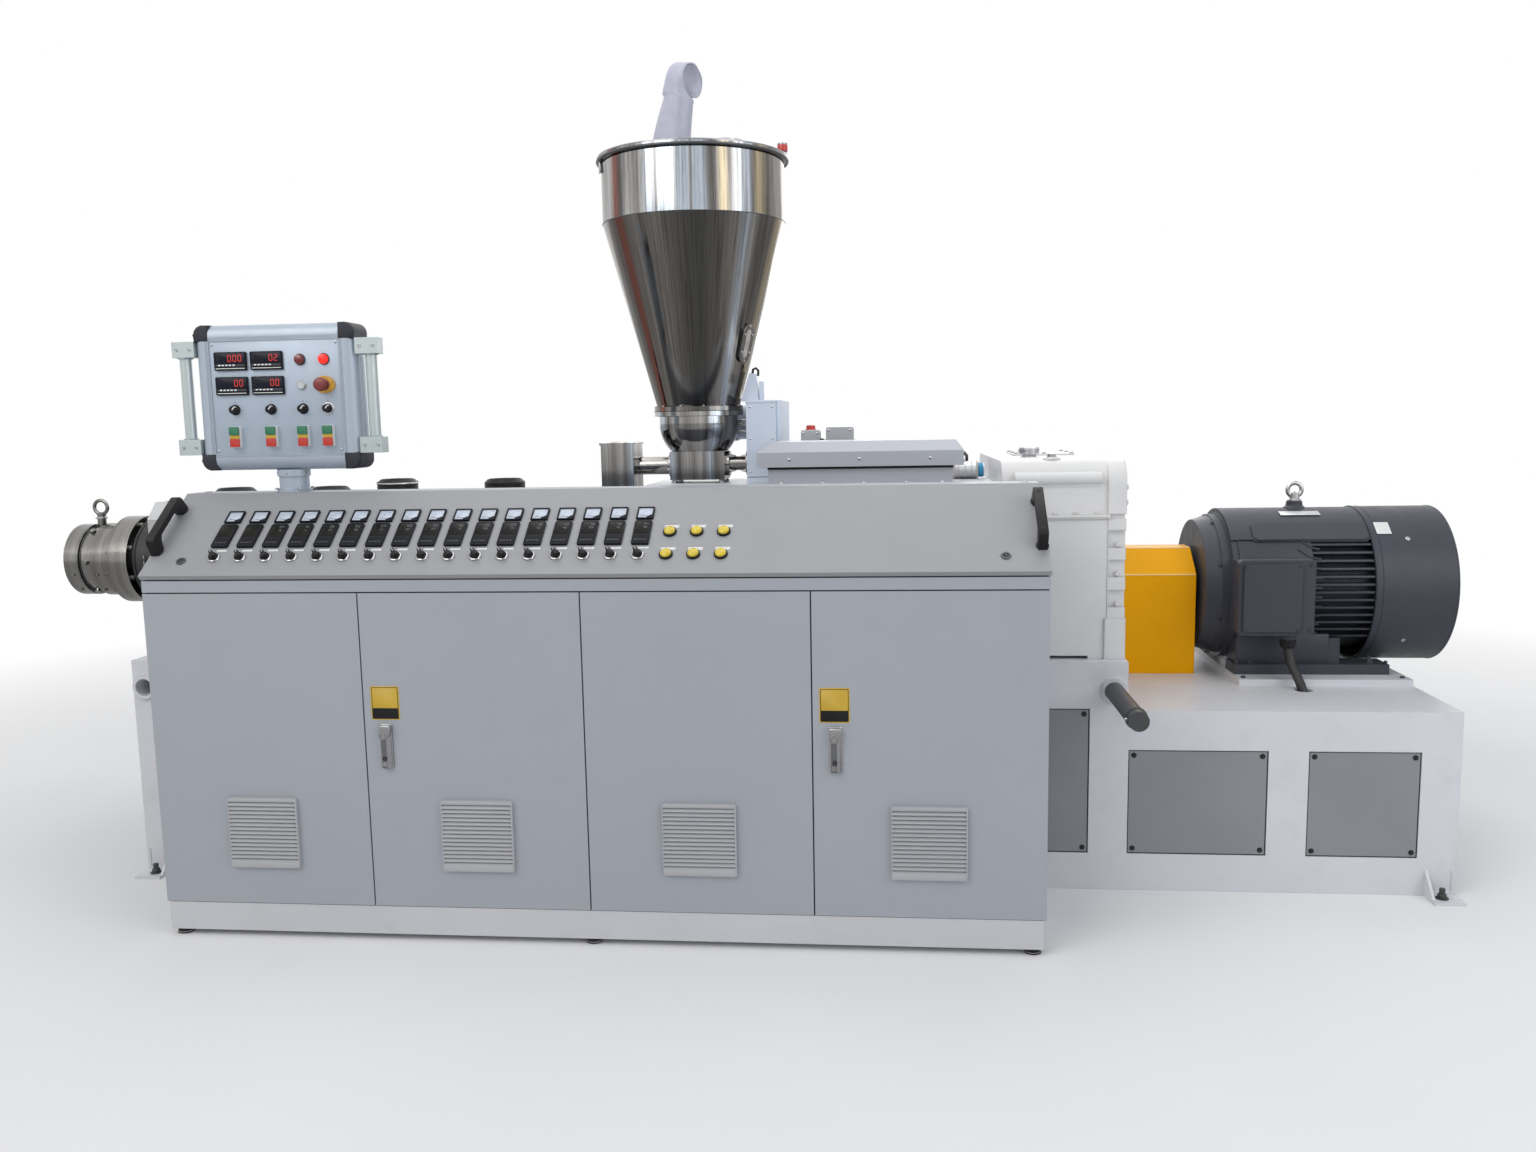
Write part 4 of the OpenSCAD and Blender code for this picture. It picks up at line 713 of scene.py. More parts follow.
def make_cabinet():
    p = Piece("cabinet_seals", "inside", "chrome", "cabinet")
    # Rubber seal behind the gaps between the doors
    for x in DOOR_SPLITS[1::2]:
        p.span((x - 8, -1085.4, 130), (x + 8, -1083.5, 1070), 0.4)
    p.span((-478.2, -1102.5, 114), (-475.8, -1087, 1077), 0.4)
    p.span((-1822, -1101, 1079.7), (868, -1088, 1082.6), 0.4)
    p.span((-1820, -1098, 1118.2), (866, -1060, 1119.4), 0.4)
    # Concealed hinge pins at the outer and middle edges
    for x, z in product((-1821, -484, -470, 867), (210, 600, 990)):
        p.rod((x, -1080, z), Z, 4.5, 46, 1, 1, 16)
    # Eye bolts' plugs on the flat top and joints of the back sheet
    for x in (-1790, 836):
        p.rod((x, -760, 1365.5), Z, 11, 3, 1, 1, 24)
    joints = (-927, -27)
    for x in joints:
        p.span((x - 14, -706.2, 130), (x + 14, -703.5, 1340), 1, 2)
    for x, z in product((-1800, -1352, -927, -477, -27, 423, 846), (160, 640, 1120, 1320)):
        p.screw((x, -706 + (2.5 if x in joints else 0), z), Y, 6, 1)
    p.done("cabinet_paint")

    # Adjustable feet under the plinth: nut and round pad
    f = Piece("cabinet_feet", "black")
    for x, y in product((-1791, -477, 837), (-1074, -742)):
        f.rod((x, y, 0), Z, 25.5, 6, 2)
        f.rod((x, y, 6), Z, 24.4, 14, 1)
    f.done("fitting_metal")


# ---------------------------------------------------------------- console

def make_instruments():
    """The meters and controllers of the 17 zones, with the bare label strip of each switch."""
    p = Piece("console_instruments", "bezel", "dial", "digit_off", "white", "black", "window", "keys", at=ON_LID)
    rng = random.Random(4)
    for k, x in enumerate(COLUMN_XS):
        # Meter: black frame, pale face, scale ticks, needle and the cover of its pivot
        s = METER_S
        for dx, dy, w, h in ((-23.8, 0, 4.4, 52), (23.8, 0, 4.4, 52), (0, 23.8, 44, 4.4), (0, -23.8, 44, 4.4)):
            p.box((x + dx, s + dy, 4), (w, h, 8), 1.2)
        p.box((x, s, 2.6), (44.4, 44.4, 5), 0.5, 1)
        px, py = x + 15, s - 16
        p.prism(((-10, -5), (7, -5), (7, 8), (3, 8), (-3, 3), (-9, 0)), 1.4, shift(px, py, 5), 0.5)
        marks = [(92 + t * 8.6, 5 if t % 5 == 0 else 3, 0.7, 0.2, 5.2) for t in range(11)]
        for degree, long, wide, thick, out in marks + [(168, 26, 1.1, 0.3, 5.6)]:
            a, mid = radians(degree), 15 if long == 26 else 31 - long / 2
            p.box((px + mid * cos(a), py + mid * sin(a), out), (long, wide, thick), 0, 4, turned("Z", a))
        # Controller: rounded black case with a dark window, faint digits and a row of keys
        s = CONTROLLER_S
        p.prism(rounded(52, 100, 4), 8, shift(x, s, 0), 2, segments=3)
        p.prism(rounded(42, 52, 2), 0.5, shift(x, s + 18, 7.8), 0.3, 5)
        if k > 1:
            for (height, dy), place in product(((9, 30), (7, 16)), range(2)):
                digit(p, rng.choice("0123456789"), x + 3 + place * (height * 0.9), s + dy, height, 2, 8.4)
            for place in range(3):
                p.box((x - 15, s + 34 - place * 9, 8.4), (1.6, 1.6, 0.3), 0, 2)
        for place in range(4):
            p.prism(rounded(7, 5, 1), 1, shift(x - 14 + place * 9.4, s - 34, 8.1), 0.4, 6)
        p.box((x, s - 12, 8.2), (40, 0.6, 0.2), 0, 6)
        # Bare label strip beside the switch
        p.prism(rounded(32, 8, 1), 0.8, shift(x + 13, 108, 0), 0.25, 3)
    piece = p.done("instrument_plastic", "lid")
    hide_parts("lid_instruments")


def make_switches():
    """Turn switches below the controllers and the six domed push buttons beside them."""
    p = Piece("console_switches", "black", "chrome", "yellow_cap", "white", at=ON_LID)
    for x in COLUMN_XS:
        seat = shift(x, SWITCH_S, 0)
        p.spun(seat, 40, 1, (0, 0), (19.4, 0), (19.6, 2), (18, 4.4), (15, 5.4), (14.8, 3), (0, 3))
        p.spun(seat, 40, 0, (14.6, 2), (14.6, 8), (13.4, 10), (12, 10.6), (11.2, 15), (0, 15))
        handle = seat @ spin(38)
        p.prism(((-6, -15), (6, -15), (6.4, 8), (4, 17), (0, 20.5), (-4, 17), (-6.4, 8)), 16,
                handle @ shift(0, 0, 7), 2)
        p.block(handle @ shift(0, 11, 23.1), (1.4, 12, 0.5), 0, 3)
    for x, s in product((-227, -146, -65), (77.5, 173.5)):
        seat = shift(x, s, 0)
        p.spun(seat, 44, 0, (0, 0), (20.4, 0), (20.6, 4), (19.6, 7), (17.4, 8), (17, 5), (0, 5))
        p.spun(seat, 44, 2, (16.6, 4), (16.8, 9), (15.6, 12), (12, 14.4), (6.4, 15.8), (0, 16.2))
        p.prism(rounded(44, 11, 1.4), 0.8, shift(x + 4, s + 25, 0), 0.25, 3)
        for dx in (-16, 24):
            p.spun(shift(x + dx, s + 25, 0), 12, 1, (2, 0.8), (2, 1.6), (0, 1.8))
    piece = p.done("switch_plastic", "lid")
    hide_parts("lid_switches")


def bow_outline():
    """Bridge handle from the side: local x up the slope, local y away from the lid."""
    a, b, h, grip, foot = 86, 310, 58, 18, 36
    return ((a, 0), (a + 6, h - 14), (a + 11, h - 5), (a + 20, h), (b - 20, h), (b - 11, h - 5), (b - 6, h - 14),
            (b, 0), (b - foot, 0), (b - foot - 8, h - grip - 10), (b - foot - 20, h - grip),
            (a + foot + 20, h - grip), (a + foot + 8, h - grip - 10), (a + foot, 0))


def make_bow_handles():
    """The two bridge handles of the console lid and its two key locks."""
    p = Piece("console_bow_handles", "black", "dark_steel", "inside", at=ON_LID)
    for x in (-1812, 858):
        # Outline in slope distance and height, pushed both ways from the bar's side
        for way, depth in ((1, 24), (-1, 4)):
            across = Matrix(((0, 0, way, x - 10), (1, 0, 0, 0), (0, 1, 0, 0), (0, 0, 0, 1)))
            p.prism(bow_outline(), depth, across, 2.5, segments=3)
        for s, inner in ((104, 120), (292, 276)):
            p.spun(shift(x, s, 0), 36, 0, *cap(19, 2.4, 16, 4))
            p.spun(shift(x, inner, 0), 6, 0, (8, 50), (8, 57.6), (5, 58.6), (0, 58))
    for x in (-1718, 753):
        seat = shift(x, 63, 0)
        p.spun(seat, 36, 1, (0, 0), (14.6, 0), (14.8, 2), (13.4, 3.8), (9, 4.2), (8.6, 2.4), (0, 2.4))
        p.spun(seat, 36, 2, (8.2, 2.2), (8.2, 3.4), (7.4, 4), (0, 4.2))
        p.block(seat @ spin(35) @ shift(0, 0, 4.3), (2.6, 12, 0.5), 0, 1)
    piece = p.done("black_plastic", "lid")
    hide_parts("lid_handles")


def make_lid_trim():
    """Hinge strip at the back edge, and the folded lips at the sides of the lid."""
    p = Piece("console_lid_trim", "lid", at=ON_LID)
    for x in (-1650, -1070, 120, 700):
        p.rod((x - 40, 374, -2.5), X, 3.5, 80, 0.6, 0, 16)
    for x in (-1828.5, 874.5):
        p.box((x, 188, -1.4), (2.2, 366, 1.6), 0.6)
    p.done("cabinet_paint", "lid")


# ---------------------------------------------------------------- operator box

BOX_X, BOX_FRONT = -1511, -814
PLATE_Z0, PLATE_Z1 = 1489.5, 1845.5
PANEL_W, PANEL_D, PROFILE_W = 428, 106, 52
HALF_W, HALF_H, MID_Z = PANEL_W / 2, (PLATE_Z1 - PLATE_Z0) / 2, (PLATE_Z0 + PLATE_Z1) / 2
BOX_BACK = BOX_FRONT + PANEL_D
POST_X = -1495
KNOB_XS = (-1651, -1530, -1424, -1342)


def profile_outline():
    """Section of the aluminium profile: local x is depth from the front, local y its height."""
    r, w = PROFILE_W * 0.7, PROFILE_W
    points = [(0, 0)]
    for h in (3, 6.5, 10):
        points += [(0, h), (1.1, h + 0.3), (1.1, h + 1.3), (0, h + 1.6)]
    points += arc(r, 180, -90, 8, r, w - r)
    for h in (44, 51, 58):
        points += [(h, w), (h + 0.3, w - 1.1), (h + 1.7, w - 1.1), (h + 2, w)]
    return points + arc(r, 90, -90, 8, PANEL_D - r, w - r) + [(PANEL_D, 0)]


def make_operator_box():
    p = Piece("operator_case", "plate", "profile", "corner", "chrome")
    p.span((BOX_X - HALF_W, BOX_FRONT + 3, PLATE_Z0), (BOX_X + HALF_W, BOX_BACK, PLATE_Z1), 0.8)
    for sign in SIDES:
        # Top and bottom bars run along X, side bars run up
        along = Matrix(((0, 0, 1, BOX_X - HALF_W - 1), (1, 0, 0, BOX_FRONT),
                        (0, sign, 0, MID_Z + sign * HALF_H), (0, 0, 0, 1)))
        upright = Matrix(((0, sign, 0, BOX_X + sign * HALF_W), (1, 0, 0, BOX_FRONT),
                          (0, 0, 1, PLATE_Z0 - 1), (0, 0, 0, 1)))
        for half, place in ((HALF_W, along), (HALF_H, upright)):
            p.prism(profile_outline(), 2 * half + 2, place, 0, 1, 1)
    # Moulded corner pieces, a rounded block each with soft edges
    r, reach = 30, PROFILE_W
    outline = [(-1, -1), (-1, reach), *arc(r, 90, -90, 8, reach - r, reach - r), (reach, -1)]
    for sx, sz in product(SIDES, SIDES):
        front = Matrix(((sx, 0, 0, BOX_X + sx * HALF_W), (0, 0, -1, BOX_BACK - 1),
                        (0, sz, 0, MID_Z + sz * HALF_H), (0, 0, 0, 1)))
        p.prism(outline, PANEL_D - 2, front, 9, 2, 5)
        p.rod((BOX_X + sx * (HALF_W + 24), BOX_BACK - 2, MID_Z + sz * (HALF_H + 24)), Y, 6, 3, 0.8, 3, 20)
    # Back plate with its screws
    p.span((BOX_X - HALF_W + 12, BOX_BACK - 0.4, PLATE_Z0 + 12),
           (BOX_X + HALF_W - 12, BOX_BACK + 1.6, PLATE_Z1 - 12), 0.8)
    for sx, sz in product(SIDES, (-1, 0, 1)):
        p.screw((BOX_X + sx * (HALF_W - 24), BOX_BACK + 1.6, MID_Z + sz * (HALF_H - 24)), Y, 4, 3)
    piece = p.done("box_aluminium")
    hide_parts("operator_box")


def make_operator_controls():
    """Displays, lamps, buttons and knobs on the operator plate."""
    p = Piece("operator_instruments", "bezel", "led_window", "digit", "white", "black", "chrome", "lamp_on",
              "lamp_off", "clear", "stop_amber", "stop_red", "green", "silver", "keys", "red", "amber",
              at=facing_front(BOX_FRONT + 3))
    for x, z, text in ((-1654, 1782.5, "000"), (-1534, 1782.5, "02"), (-1654, 1704.5, "00"), (-1534, 1704.5, "00")):
        p.prism(rounded(106, 58, 3), 8, shift(x, z, 0), 1.4, segments=3)
        p.prism(rounded(99, 34, 1.5), 0.5, shift(x, z + 9, 7.8), 0.2, 1)
        p.box((x, z - 13, 8.1), (97, 6.5, 0.4), 0, 13)
        p.box((x, z - 22.6, 8.1), (97, 2.2, 0.4), 0, 3)
        for k in range(5):
            p.prism(rounded(8, 4.4, 1), 0.9, shift(x - 36 + 12 * k, z - 13, 8.2), 0.3, 12)
        for k, mark in enumerate(text):
            digit(p, mark, x + 45 - 17 * (len(text) - k), z - 0.5, 19, 2, 8.5)
        for k in range(3):
            p.box((x - 42, z + 18 - 7 * k, 8.4), (2, 2, 0.3), 0, 13)
    for x, look in ((-1425, 7), (-1346, 6)):
        seat = shift(x, 1783.5, 0)
        p.spun(seat, 40, 13, (0, 0), (18.4, 0), (18.6, 2.5), (16.4, 5), (15.8, 3), (0, 3))
        p.spun(seat, 40, look, (15.4, 2), (15.4, 11), (13.6, 14.6), (8, 16.6), (0, 17))
    # Clear push button
    seat = shift(-1425, 1703.5, 0)
    p.spun(seat, 40, 12, (0, 0), (15.5, 0), (15.8, 2.5), (14, 5), (13.6, 5), (13.6, 3), (0, 3))
    p.spun(seat, 40, 8, (12.6, 2), (12.6, 7), (11.6, 8), (0, 7.4))
    # Stop button: amber oval collar and a dark red mushroom head
    seat = shift(-1346, 1703.5, 0)
    p.prism([(33 * cos(a), 27 * sin(a)) for a in around(32)], 14, seat, 4, 9, 3)
    p.spun(seat, 48, 10, (19, 12), (19, 16), (15, 18), (13, 18), (13, 30), (20, 33), (21.4, 38), (20.6, 44),
           (17, 48.6), (9, 50.6), (0, 51))
    p.block(seat @ shift(26, 6, 13.4), (9, 5, 1), 0.3, 4, 1)
    # Turned knobs with a white pointer, the last one on a bright skirt
    for x in KNOB_XS:
        seat = shift(x, 1629.5, 0)
        skirt, look = (20, 12) if x == KNOB_XS[-1] else (17, 4)
        p.spun(seat, 44, look, *cap(skirt, 1.6, skirt - 2, 3))
        p.spun(seat, 44, 4, (15, 2), (14.6, 6), (12.4, 8), (11.6, 20), (10.2, 22), (0, 22.4))
        for a in around(20):
            p.block(seat @ shift(11.6 * cos(a), 11.6 * sin(a), 14), (1.6, 1.4, 12), 0.3, 4, 1)
        pointer = seat @ spin(-40)
        p.block(pointer @ shift(0, 6, 22.2), (3.6, 12, 0.8), 0.2, 3, 1)
        p.block(pointer @ shift(0, 12, 16), (4.6, 1.4, 10), 0.2, 3, 1)
        p.block(seat @ shift(0, 24, 0.3), (1, 5, 0.4), 0, 4)
    # Twin buttons: green, amber lens and red on a deeper pale body
    for x, (w, h, r, depth, dz, out, bevel, look) in product(KNOB_XS, (
            (34, 66, 3, 15, 0, 0, 1.6, 3), (31, 26, 2, 8, 19, 14, 1.6, 11),
            (31, 11, 1.4, 4, 0.4, 14, 1, 15), (31, 26, 2, 6, -18.4, 14, 1.6, 14))):
        p.prism(rounded(w, h, r), depth, shift(x, 1543.5 + dz, out), bevel, look, 3)
    # Plate screws
    for x, z in product((BOX_X - 205, BOX_X + 205), (PLATE_Z0 + 10, PLATE_Z1 - 10)):
        p.screw((x, z, 0), Z, 4, 5)
    piece = p.done("switch_plastic")
    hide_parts("operator_controls")


def make_operator_post():
    p = Piece("operator_post_bolts", "chrome", "profile")
    post = vec(POST_X, BOX_FRONT + PANEL_D / 2, 0)
    for a in around(4, 45):
        p.hexagon(post + ray(a) * 57 + Z * 1373.5, Z, 6.5, 5)
    p.ring(post + Z * 1375, Z, 47, 2.2, 1, 48)
    # Set screws of the swivel collar and of the grips
    for degree in (200, 270, 340):
        d = ray(radians(degree))
        p.rod(post + Z * 1426 + d * 50, d, 4, 2.4, 0.6, 0, 16)
    for sx in SIDES:
        x = BOX_X + sx * (HALF_W + PROFILE_W + 37)
        for z, dx in product((PLATE_Z0 + 23, PLATE_Z1 - 23), (-22, 22)):
            p.socket((x + dx, BOX_FRONT + 4, z), -Y, 5, 3)
        for z in (PLATE_Z0 + 50, PLATE_Z1 - 50):
            p.ring((x + sx * 6, BOX_FRONT + 27, z), Z, 22.4, 1.5, 1, 32)
    p.done("box_aluminium")


# ---------------------------------------------------------------- base

BASE_END, BASE_SIDE, PANEL_BOTTOM, PANEL_FACE = 2235, 575, 127, 572
BAR_X, BAR_Z = 1148, 673
# Left edge, width and height of each panel in the base
BASE_PANELS = [(-2112 + 662.4 * i, 532.4, 484) for i in range(5)] + [(1200, 439, 347), (1769, 343, 347)]


def weld(piece, low, high, count, r, ripple=0.0, look=0):
    """A bead from one end to the other, every second point lifted by the ripple."""
    piece.tube([Vector(low).lerp(Vector(high), k / count) + Z * (ripple * (k % 2)) for k in range(count + 1)],
               r, look)


def make_base():
    p = Piece("base_screws", "inside")
    for (x0, w, h), side in product(BASE_PANELS, SIDES):
        for x, z in product((x0 + 16, x0 + w - 16), (143, PANEL_BOTTOM + h - 16)):
            p.hexagon((x, side * PANEL_FACE, z), Y * side, 6.5, 4)
        # Dark strips painted on the panel's face as the shadow along the gap round it
        for z in (PANEL_BOTTOM, PANEL_BOTTOM + h):
            p.box((x0 + w / 2, side * PANEL_FACE, z), (w + 3, 1, 3))
        for x in (x0, x0 + w):
            p.box((x, side * PANEL_FACE, PANEL_BOTTOM + h / 2), (3, 1, h))
    p.done("fitting_metal")

    a = Piece("base_anchors", "bar", "frame")
    for sx, sy in product(SIDES, SIDES):
        foot = (sx * (BASE_END - 58), sy * (BASE_SIDE + 46))
        a.rod((*foot, 0), Z, 9, 44, 1.5, 0, 20)
        a.hexagon((*foot, 10), Z, 15, 13)
        # Weld bead where the foot plate meets the base, and along its gusset
        y, x = sy * (BASE_SIDE + 1), sx * (BASE_END - 11.5)
        weld(a, (sx * (BASE_END - 95), y, 12), (sx * BASE_END, y, 12), 12, 3, 0.6, 1)
        weld(a, (x, y, 14), (x, y, 84), 10, 2.4, 0, 1)
    a.done("frame_paint")

    # Weld seams at the step of the frame and round the lifting collars
    w = Piece("base_welds", "frame")
    for y in (-540, -270, 0, 270, 540):
        weld(w, (1194.5, y - 110, 609.5), (1194.5, y + 110, 609.5), 10, 3, 0.5)
    for x, side in product((-2190, BAR_X), SIDES):
        w.ring((x, side * (BASE_SIDE + 0.5), BAR_Z), Y, 43.5, 2.6, 0, 48)
    w.done("frame_paint")

    b = Piece("lifting_bar_ends", "bar", "chrome")
    for side in SIDES:
        b.ring((BAR_X, side * 940, BAR_Z), Y, 30.6, 3.2, 0, 40, 10)
        b.rod((BAR_X - 37, side * 952, BAR_Z), X, 4, 74, 1, 1, 14)
    b.done("bar_steel")

    m = Piece("motor_bolts", "motor")
    for x, side in product((1715, 2127), SIDES):
        place = (x, SHAFT_Y + side * 240, 666)
        m.hexagon(place, Z, 15, 12)
        m.rod(place, Z, 8, 24, 1, 0, 16)
    for x, y in product((1670, 2210), (-160, 520)):
        m.socket((x, y, 630), Z, 8, 6)
    m.done("fitting_metal")


# ---------------------------------------------------------------- barrel

SCREW_Z = 1065
ADAPTER_X0 = -2780
HEATERS, HEATER_LEN, HEATER_GAP, HEATER_X0 = 5, 302.1, 60, -2473


def round_bolts(p, x, radius, count, axis, r, h, look=0, start=0.0, y=0.0, z=SCREW_Z, kind=Piece.socket):
    """A circle of bolts round an axis along X."""
    for a in around(count, start):
        kind(p, vec(x, y, z) + radius * spoke(a), axis, r, h, look)


def make_barrel():
    p = Piece("barrel_bolts", "steel")
    round_bolts(p, -2493, 148, 8, X, 10, 10, start=22.5)
    round_bolts(p, -500, 172, 12, -X, 10, 12, start=15)
    p.done("barrel_steel")

    # Heater bands: cast-in tubes, clamp screws and the box of the leads
    h = Piece("heater_fittings", "heater", "chrome", "black")
    for k in range(HEATERS):
        a0 = HEATER_X0 + k * (HEATER_LEN + HEATER_GAP)
        a1, mid = a0 + HEATER_LEN, a0 + HEATER_LEN / 2
        r = 122 + 28 * (a1 + 2533) / 2078 + 32
        for x in (a0 + 8, a1 - 8, mid - 60, mid + 60):
            h.ring((x, 0, SCREW_Z), X, r + 1.2, 3.4, 0, 60)
        for x, side in product((a0 + 50, a1 - 50), SIDES):
            for dz in (14, -14):
                h.box((x, side * (r + 3), SCREW_Z + dz), (24, 10, 10), 1.5)
            h.rod((x, side * (r + 4), SCREW_Z - 26), Z, 3.4, 54, 0.6, 1, 14)
        for dx in (-22, 22):
            h.rod((mid + dx, 0, SCREW_Z + r + 26), Z, 6, 10, 1, 1, 18)
            h.rod((mid + dx, 0, SCREW_Z + r + 34), Z, 4, 7, 1, 2, 18)
    h.done("heater_steel")

    g = Piece("barrel_guard_screws", "chrome")
    x0, length = -2310, 1590
    for side, k, z in product(SIDES, range(9), (868, 1220)):
        g.screw((x0 + length * k / 8, side * 250, z), Y * side, 6)
    for k, y in product(range(5), (-165, 165)):
        g.screw((x0 + length * k / 4, y, 1300), Z, 6)
    for x, side in product((-2180, -850), SIDES):
        left, right = (vec(x + dx, side * 250, 1040) for dx in (-55, 55))
        out = Y * side * 34
        g.tube([left, left + out * 0.8, left + out + X * 8, right + out - X * 8, right + out * 0.8, right],
               5, 0, 10)
        for foot in (left, right):
            g.rod(foot, Y * side, 9, 4, 1, 0, 20)
    g.done("cover_steel")

    # Ribbed fan caps on the cover, the third with its bright ring
    c = Piece("barrel_cap_rims", "black", "chrome")
    for x, height in ((-2123, 40), (-1737, 40), (-1465, 66), (-1040, 62)):
        for level in range(int(height / 11)):
            c.ring((x, 0, 1306 + 10 * level), Z, 75.4, 2.1, 0, 56)
        for k in range(5):
            c.ring((x, 0, 1300.4 + height), Z, 14 + 11 * k, 1.3, 0, 40, 6)
    c.ring((-1465, 0, 1352), Z, 76.6, 3, 1, 56, 10)
    c.done("black_plastic")


def make_adapter():
    """Bolts, groove shadows and the welded collar of the lifting eye on the die adapter."""
    p = Piece("die_adapter_bolts", "steel", "chrome", "dark_steel")
    for x, radius, count, size, start in ((ADAPTER_X0 + 10, 130, 8, (6, 5), 22.5), (ADAPTER_X0, 90, 8, (10, 10), 10),
                                          (-2573, 156, 12, (9, 9), 15)):
        round_bolts(p, x, radius, count, -X, *size, start=start)
    for x, r in ((-2577, 134.5), (-2663, 130), (-2709, 130)):
        p.ring((x, 0, SCREW_Z), X, r, 2.2, 2, 64)
    for degree in (60, 120, 180, 240, 300, 0):
        d = spoke(radians(degree))
        p.rod(vec(-2686, 0, SCREW_Z) + d * 126, d, 11, 16, 2, 0, 24)
    for (x, r), degree in product(((-2640, 142), (-2600, 142), (-2740, 139)), (200, 232, 308, 340)):
        d = spoke(radians(degree))
        p.socket(vec(x, 0, SCREW_Z) + d * r, d, 7, 6)
    p.lathe(((0, 0), (22, 0), (22, 4), (17, 7), (16, 8)), (-2691, 0, 1226), Z, 1)
    p.done("barrel_steel")


# ---------------------------------------------------------------- gearbox, hood and fittings

GEAR_X0, GEAR_MID, GEAR_END = 790, 960, 1189
GEAR_FRONT, GEAR_TOP = 520, 1420
SHAFT_Y, SHAFT_Z = 170, 926


def make_gearbox():
    """Cast details: bolts in the flange's pockets, a fillet under the ledge rib, covers and caps."""
    p = Piece("gearbox_bolts", "casting", "chrome", "glass", "inside")
    for side in SIDES:
        # Bolts stand upright in the open pockets of the end flange
        for z in (940, 1039, 1135):
            p.hexagon((1161, side * (GEAR_FRONT - 6), z + 4), Z, 9, 8, washer=False)
            p.rod((1161, side * (GEAR_FRONT - 6), z + 10), Z, 5, 8, 1, 0, 14)
        # Soft step between the upper and the lower part of the end flange
        p.box((1158, side * 462, 1237), (56, 86, 20), 4)
        # Ledge rib with its soft fillet, and the weld like bead of the split line
        for k in range(5):
            p.box((GEAR_MID, side * (506.5 - 1.1 * k), 1344 - 6 * k), (300, 7 - k, 9), 2.5)
        weld(p, (794, side * 528.4, 1237), (1130, side * 528.4, 1237), 24, 3, 0.8)
        for k in range(5):
            p.hexagon((GEAR_X0 + 36 + 68 * k, side * 512, 1244), Z, 8, 7)
    # Oil drain and sight glass on the back
    p.lathe(cap(40, 5, 35, 9), (GEAR_MID, GEAR_FRONT, 860), Y)
    p.hexagon((GEAR_MID, GEAR_FRONT + 9, 860), Y, 17, 12, 1)
    p.lathe(((0, 0), (36, 0), (36, 7), (31, 10), (26, 10), (26, 6), (0, 6)), (870, GEAR_FRONT, 980), Y, 1)
    p.lathe(((0, 0), (25.6, 0), (25.6, 0.6), (0, 0.8)), (870, GEAR_FRONT + 6.1, 980), Y, 2)
    # Flange bolts seen on the coupling side
    for y, z in [(y, 1385) for y in (-440, -320, -200, -80, 300, 420)] + [*product((-480, 480), (1280, 1330))]:
        p.hexagon((GEAR_END, y, z), X, 10, 8)
    round_bolts(p, GEAR_END - 20, 134, 8, X, 9, 8, start=22.5, y=SHAFT_Y, z=SHAFT_Z)
    p.lathe(((64, 0), (64, 5), (58, 8), (42, 8), (42, 3)), (GEAR_END - 20, SHAFT_Y, SHAFT_Z), X)
    # Top: inspection cover with screws and two lifting lugs
    p.box((990, SHAFT_Y, 1423), (220, 300, 6), 2)
    for x, y in product((890, 990, 1090), (35, SHAFT_Y, 305)):
        if (x, y) != (990, SHAFT_Y):
            p.hexagon((x, y, 1426), Z, 7, 5, 1)
    for y in (-420, 430):
        p.lathe(cap(30, 4, 24, 8), (GEAR_MID, y, GEAR_TOP))
        p.hexagon((GEAR_MID, y, GEAR_TOP + 8), Z, 14, 10, 1)
    # Dark strips painted as the shadow in the gap between the gearbox and the transfer box
    for side in SIDES:
        p.span((786, side * 470 - 14, 772), (790, side * 470 + 14, 1330), 0.5, 3)
    p.done("gear_paint")

    b = Piece("breather_cap", "chrome", "inside")
    place = vec(921, -100, GEAR_TOP)
    b.lathe(((0, 0), (25, 0), (25, 6), (27, 10), (36, 12), (36.6, 17), (36.6, 28), (33, 33.4), (12, 35), (0, 34.6)),
            place)
    for a in around(12):
        b.rod(place + 29 * ray(a) + Z * 33, Z, 2, 1, 0.2, 1, 10)
    b.done("fitting_metal")


def make_hood():
    p = Piece("hood_trim", "hood", "inside", "chrome")
    x0, x1, y0, y1 = -20, 670, -456, -131
    # Dark slab painted as the shade under the overhanging lid, and the lid's folded lower edge
    p.span((14.5, -438.5, 1400), (637.5, y1, 1407.5), 1, 1)
    for a, b in (((x0, y0 - 0.3, 1408), (x1, y0 + 2, 1411)), ((x0 - 0.3, y0, 1408), (x0 + 2, y1, 1411)),
                 ((x1 - 2, y0, 1408), (x1 + 0.3, y1, 1411))):
        p.span(a, b, 0.8)
    for x in (90, 325, 560):
        p.screw((x, y0, 1434), -Y, 5, 2)
    for y, (x, way) in product((-400, -200), ((x0, -X), (x1, X))):
        p.screw((x, y, 1434), way, 5, 2)
    for x in (60, 200, 340, 480, 600):
        p.screw((x, -436, 1352), -Y, 5, 2)
    p.done("hood_paint")

    t = Piece("transfer_box_bolts", "chrome")
    for x, side, z in product((60, 240, 420, 600, 740), SIDES, (800, 1300)):
        t.hexagon((x, side * 456, z), Y * side, 11, 9)
    for x, side in product((-400, -220, -60), SIDES):
        t.hexagon((x, side * 263, 808), Z, 12, 10)
    round_bolts(t, -455, 215, 12, -X, 11, 9, 0, 15)
    t.done("frame_paint")


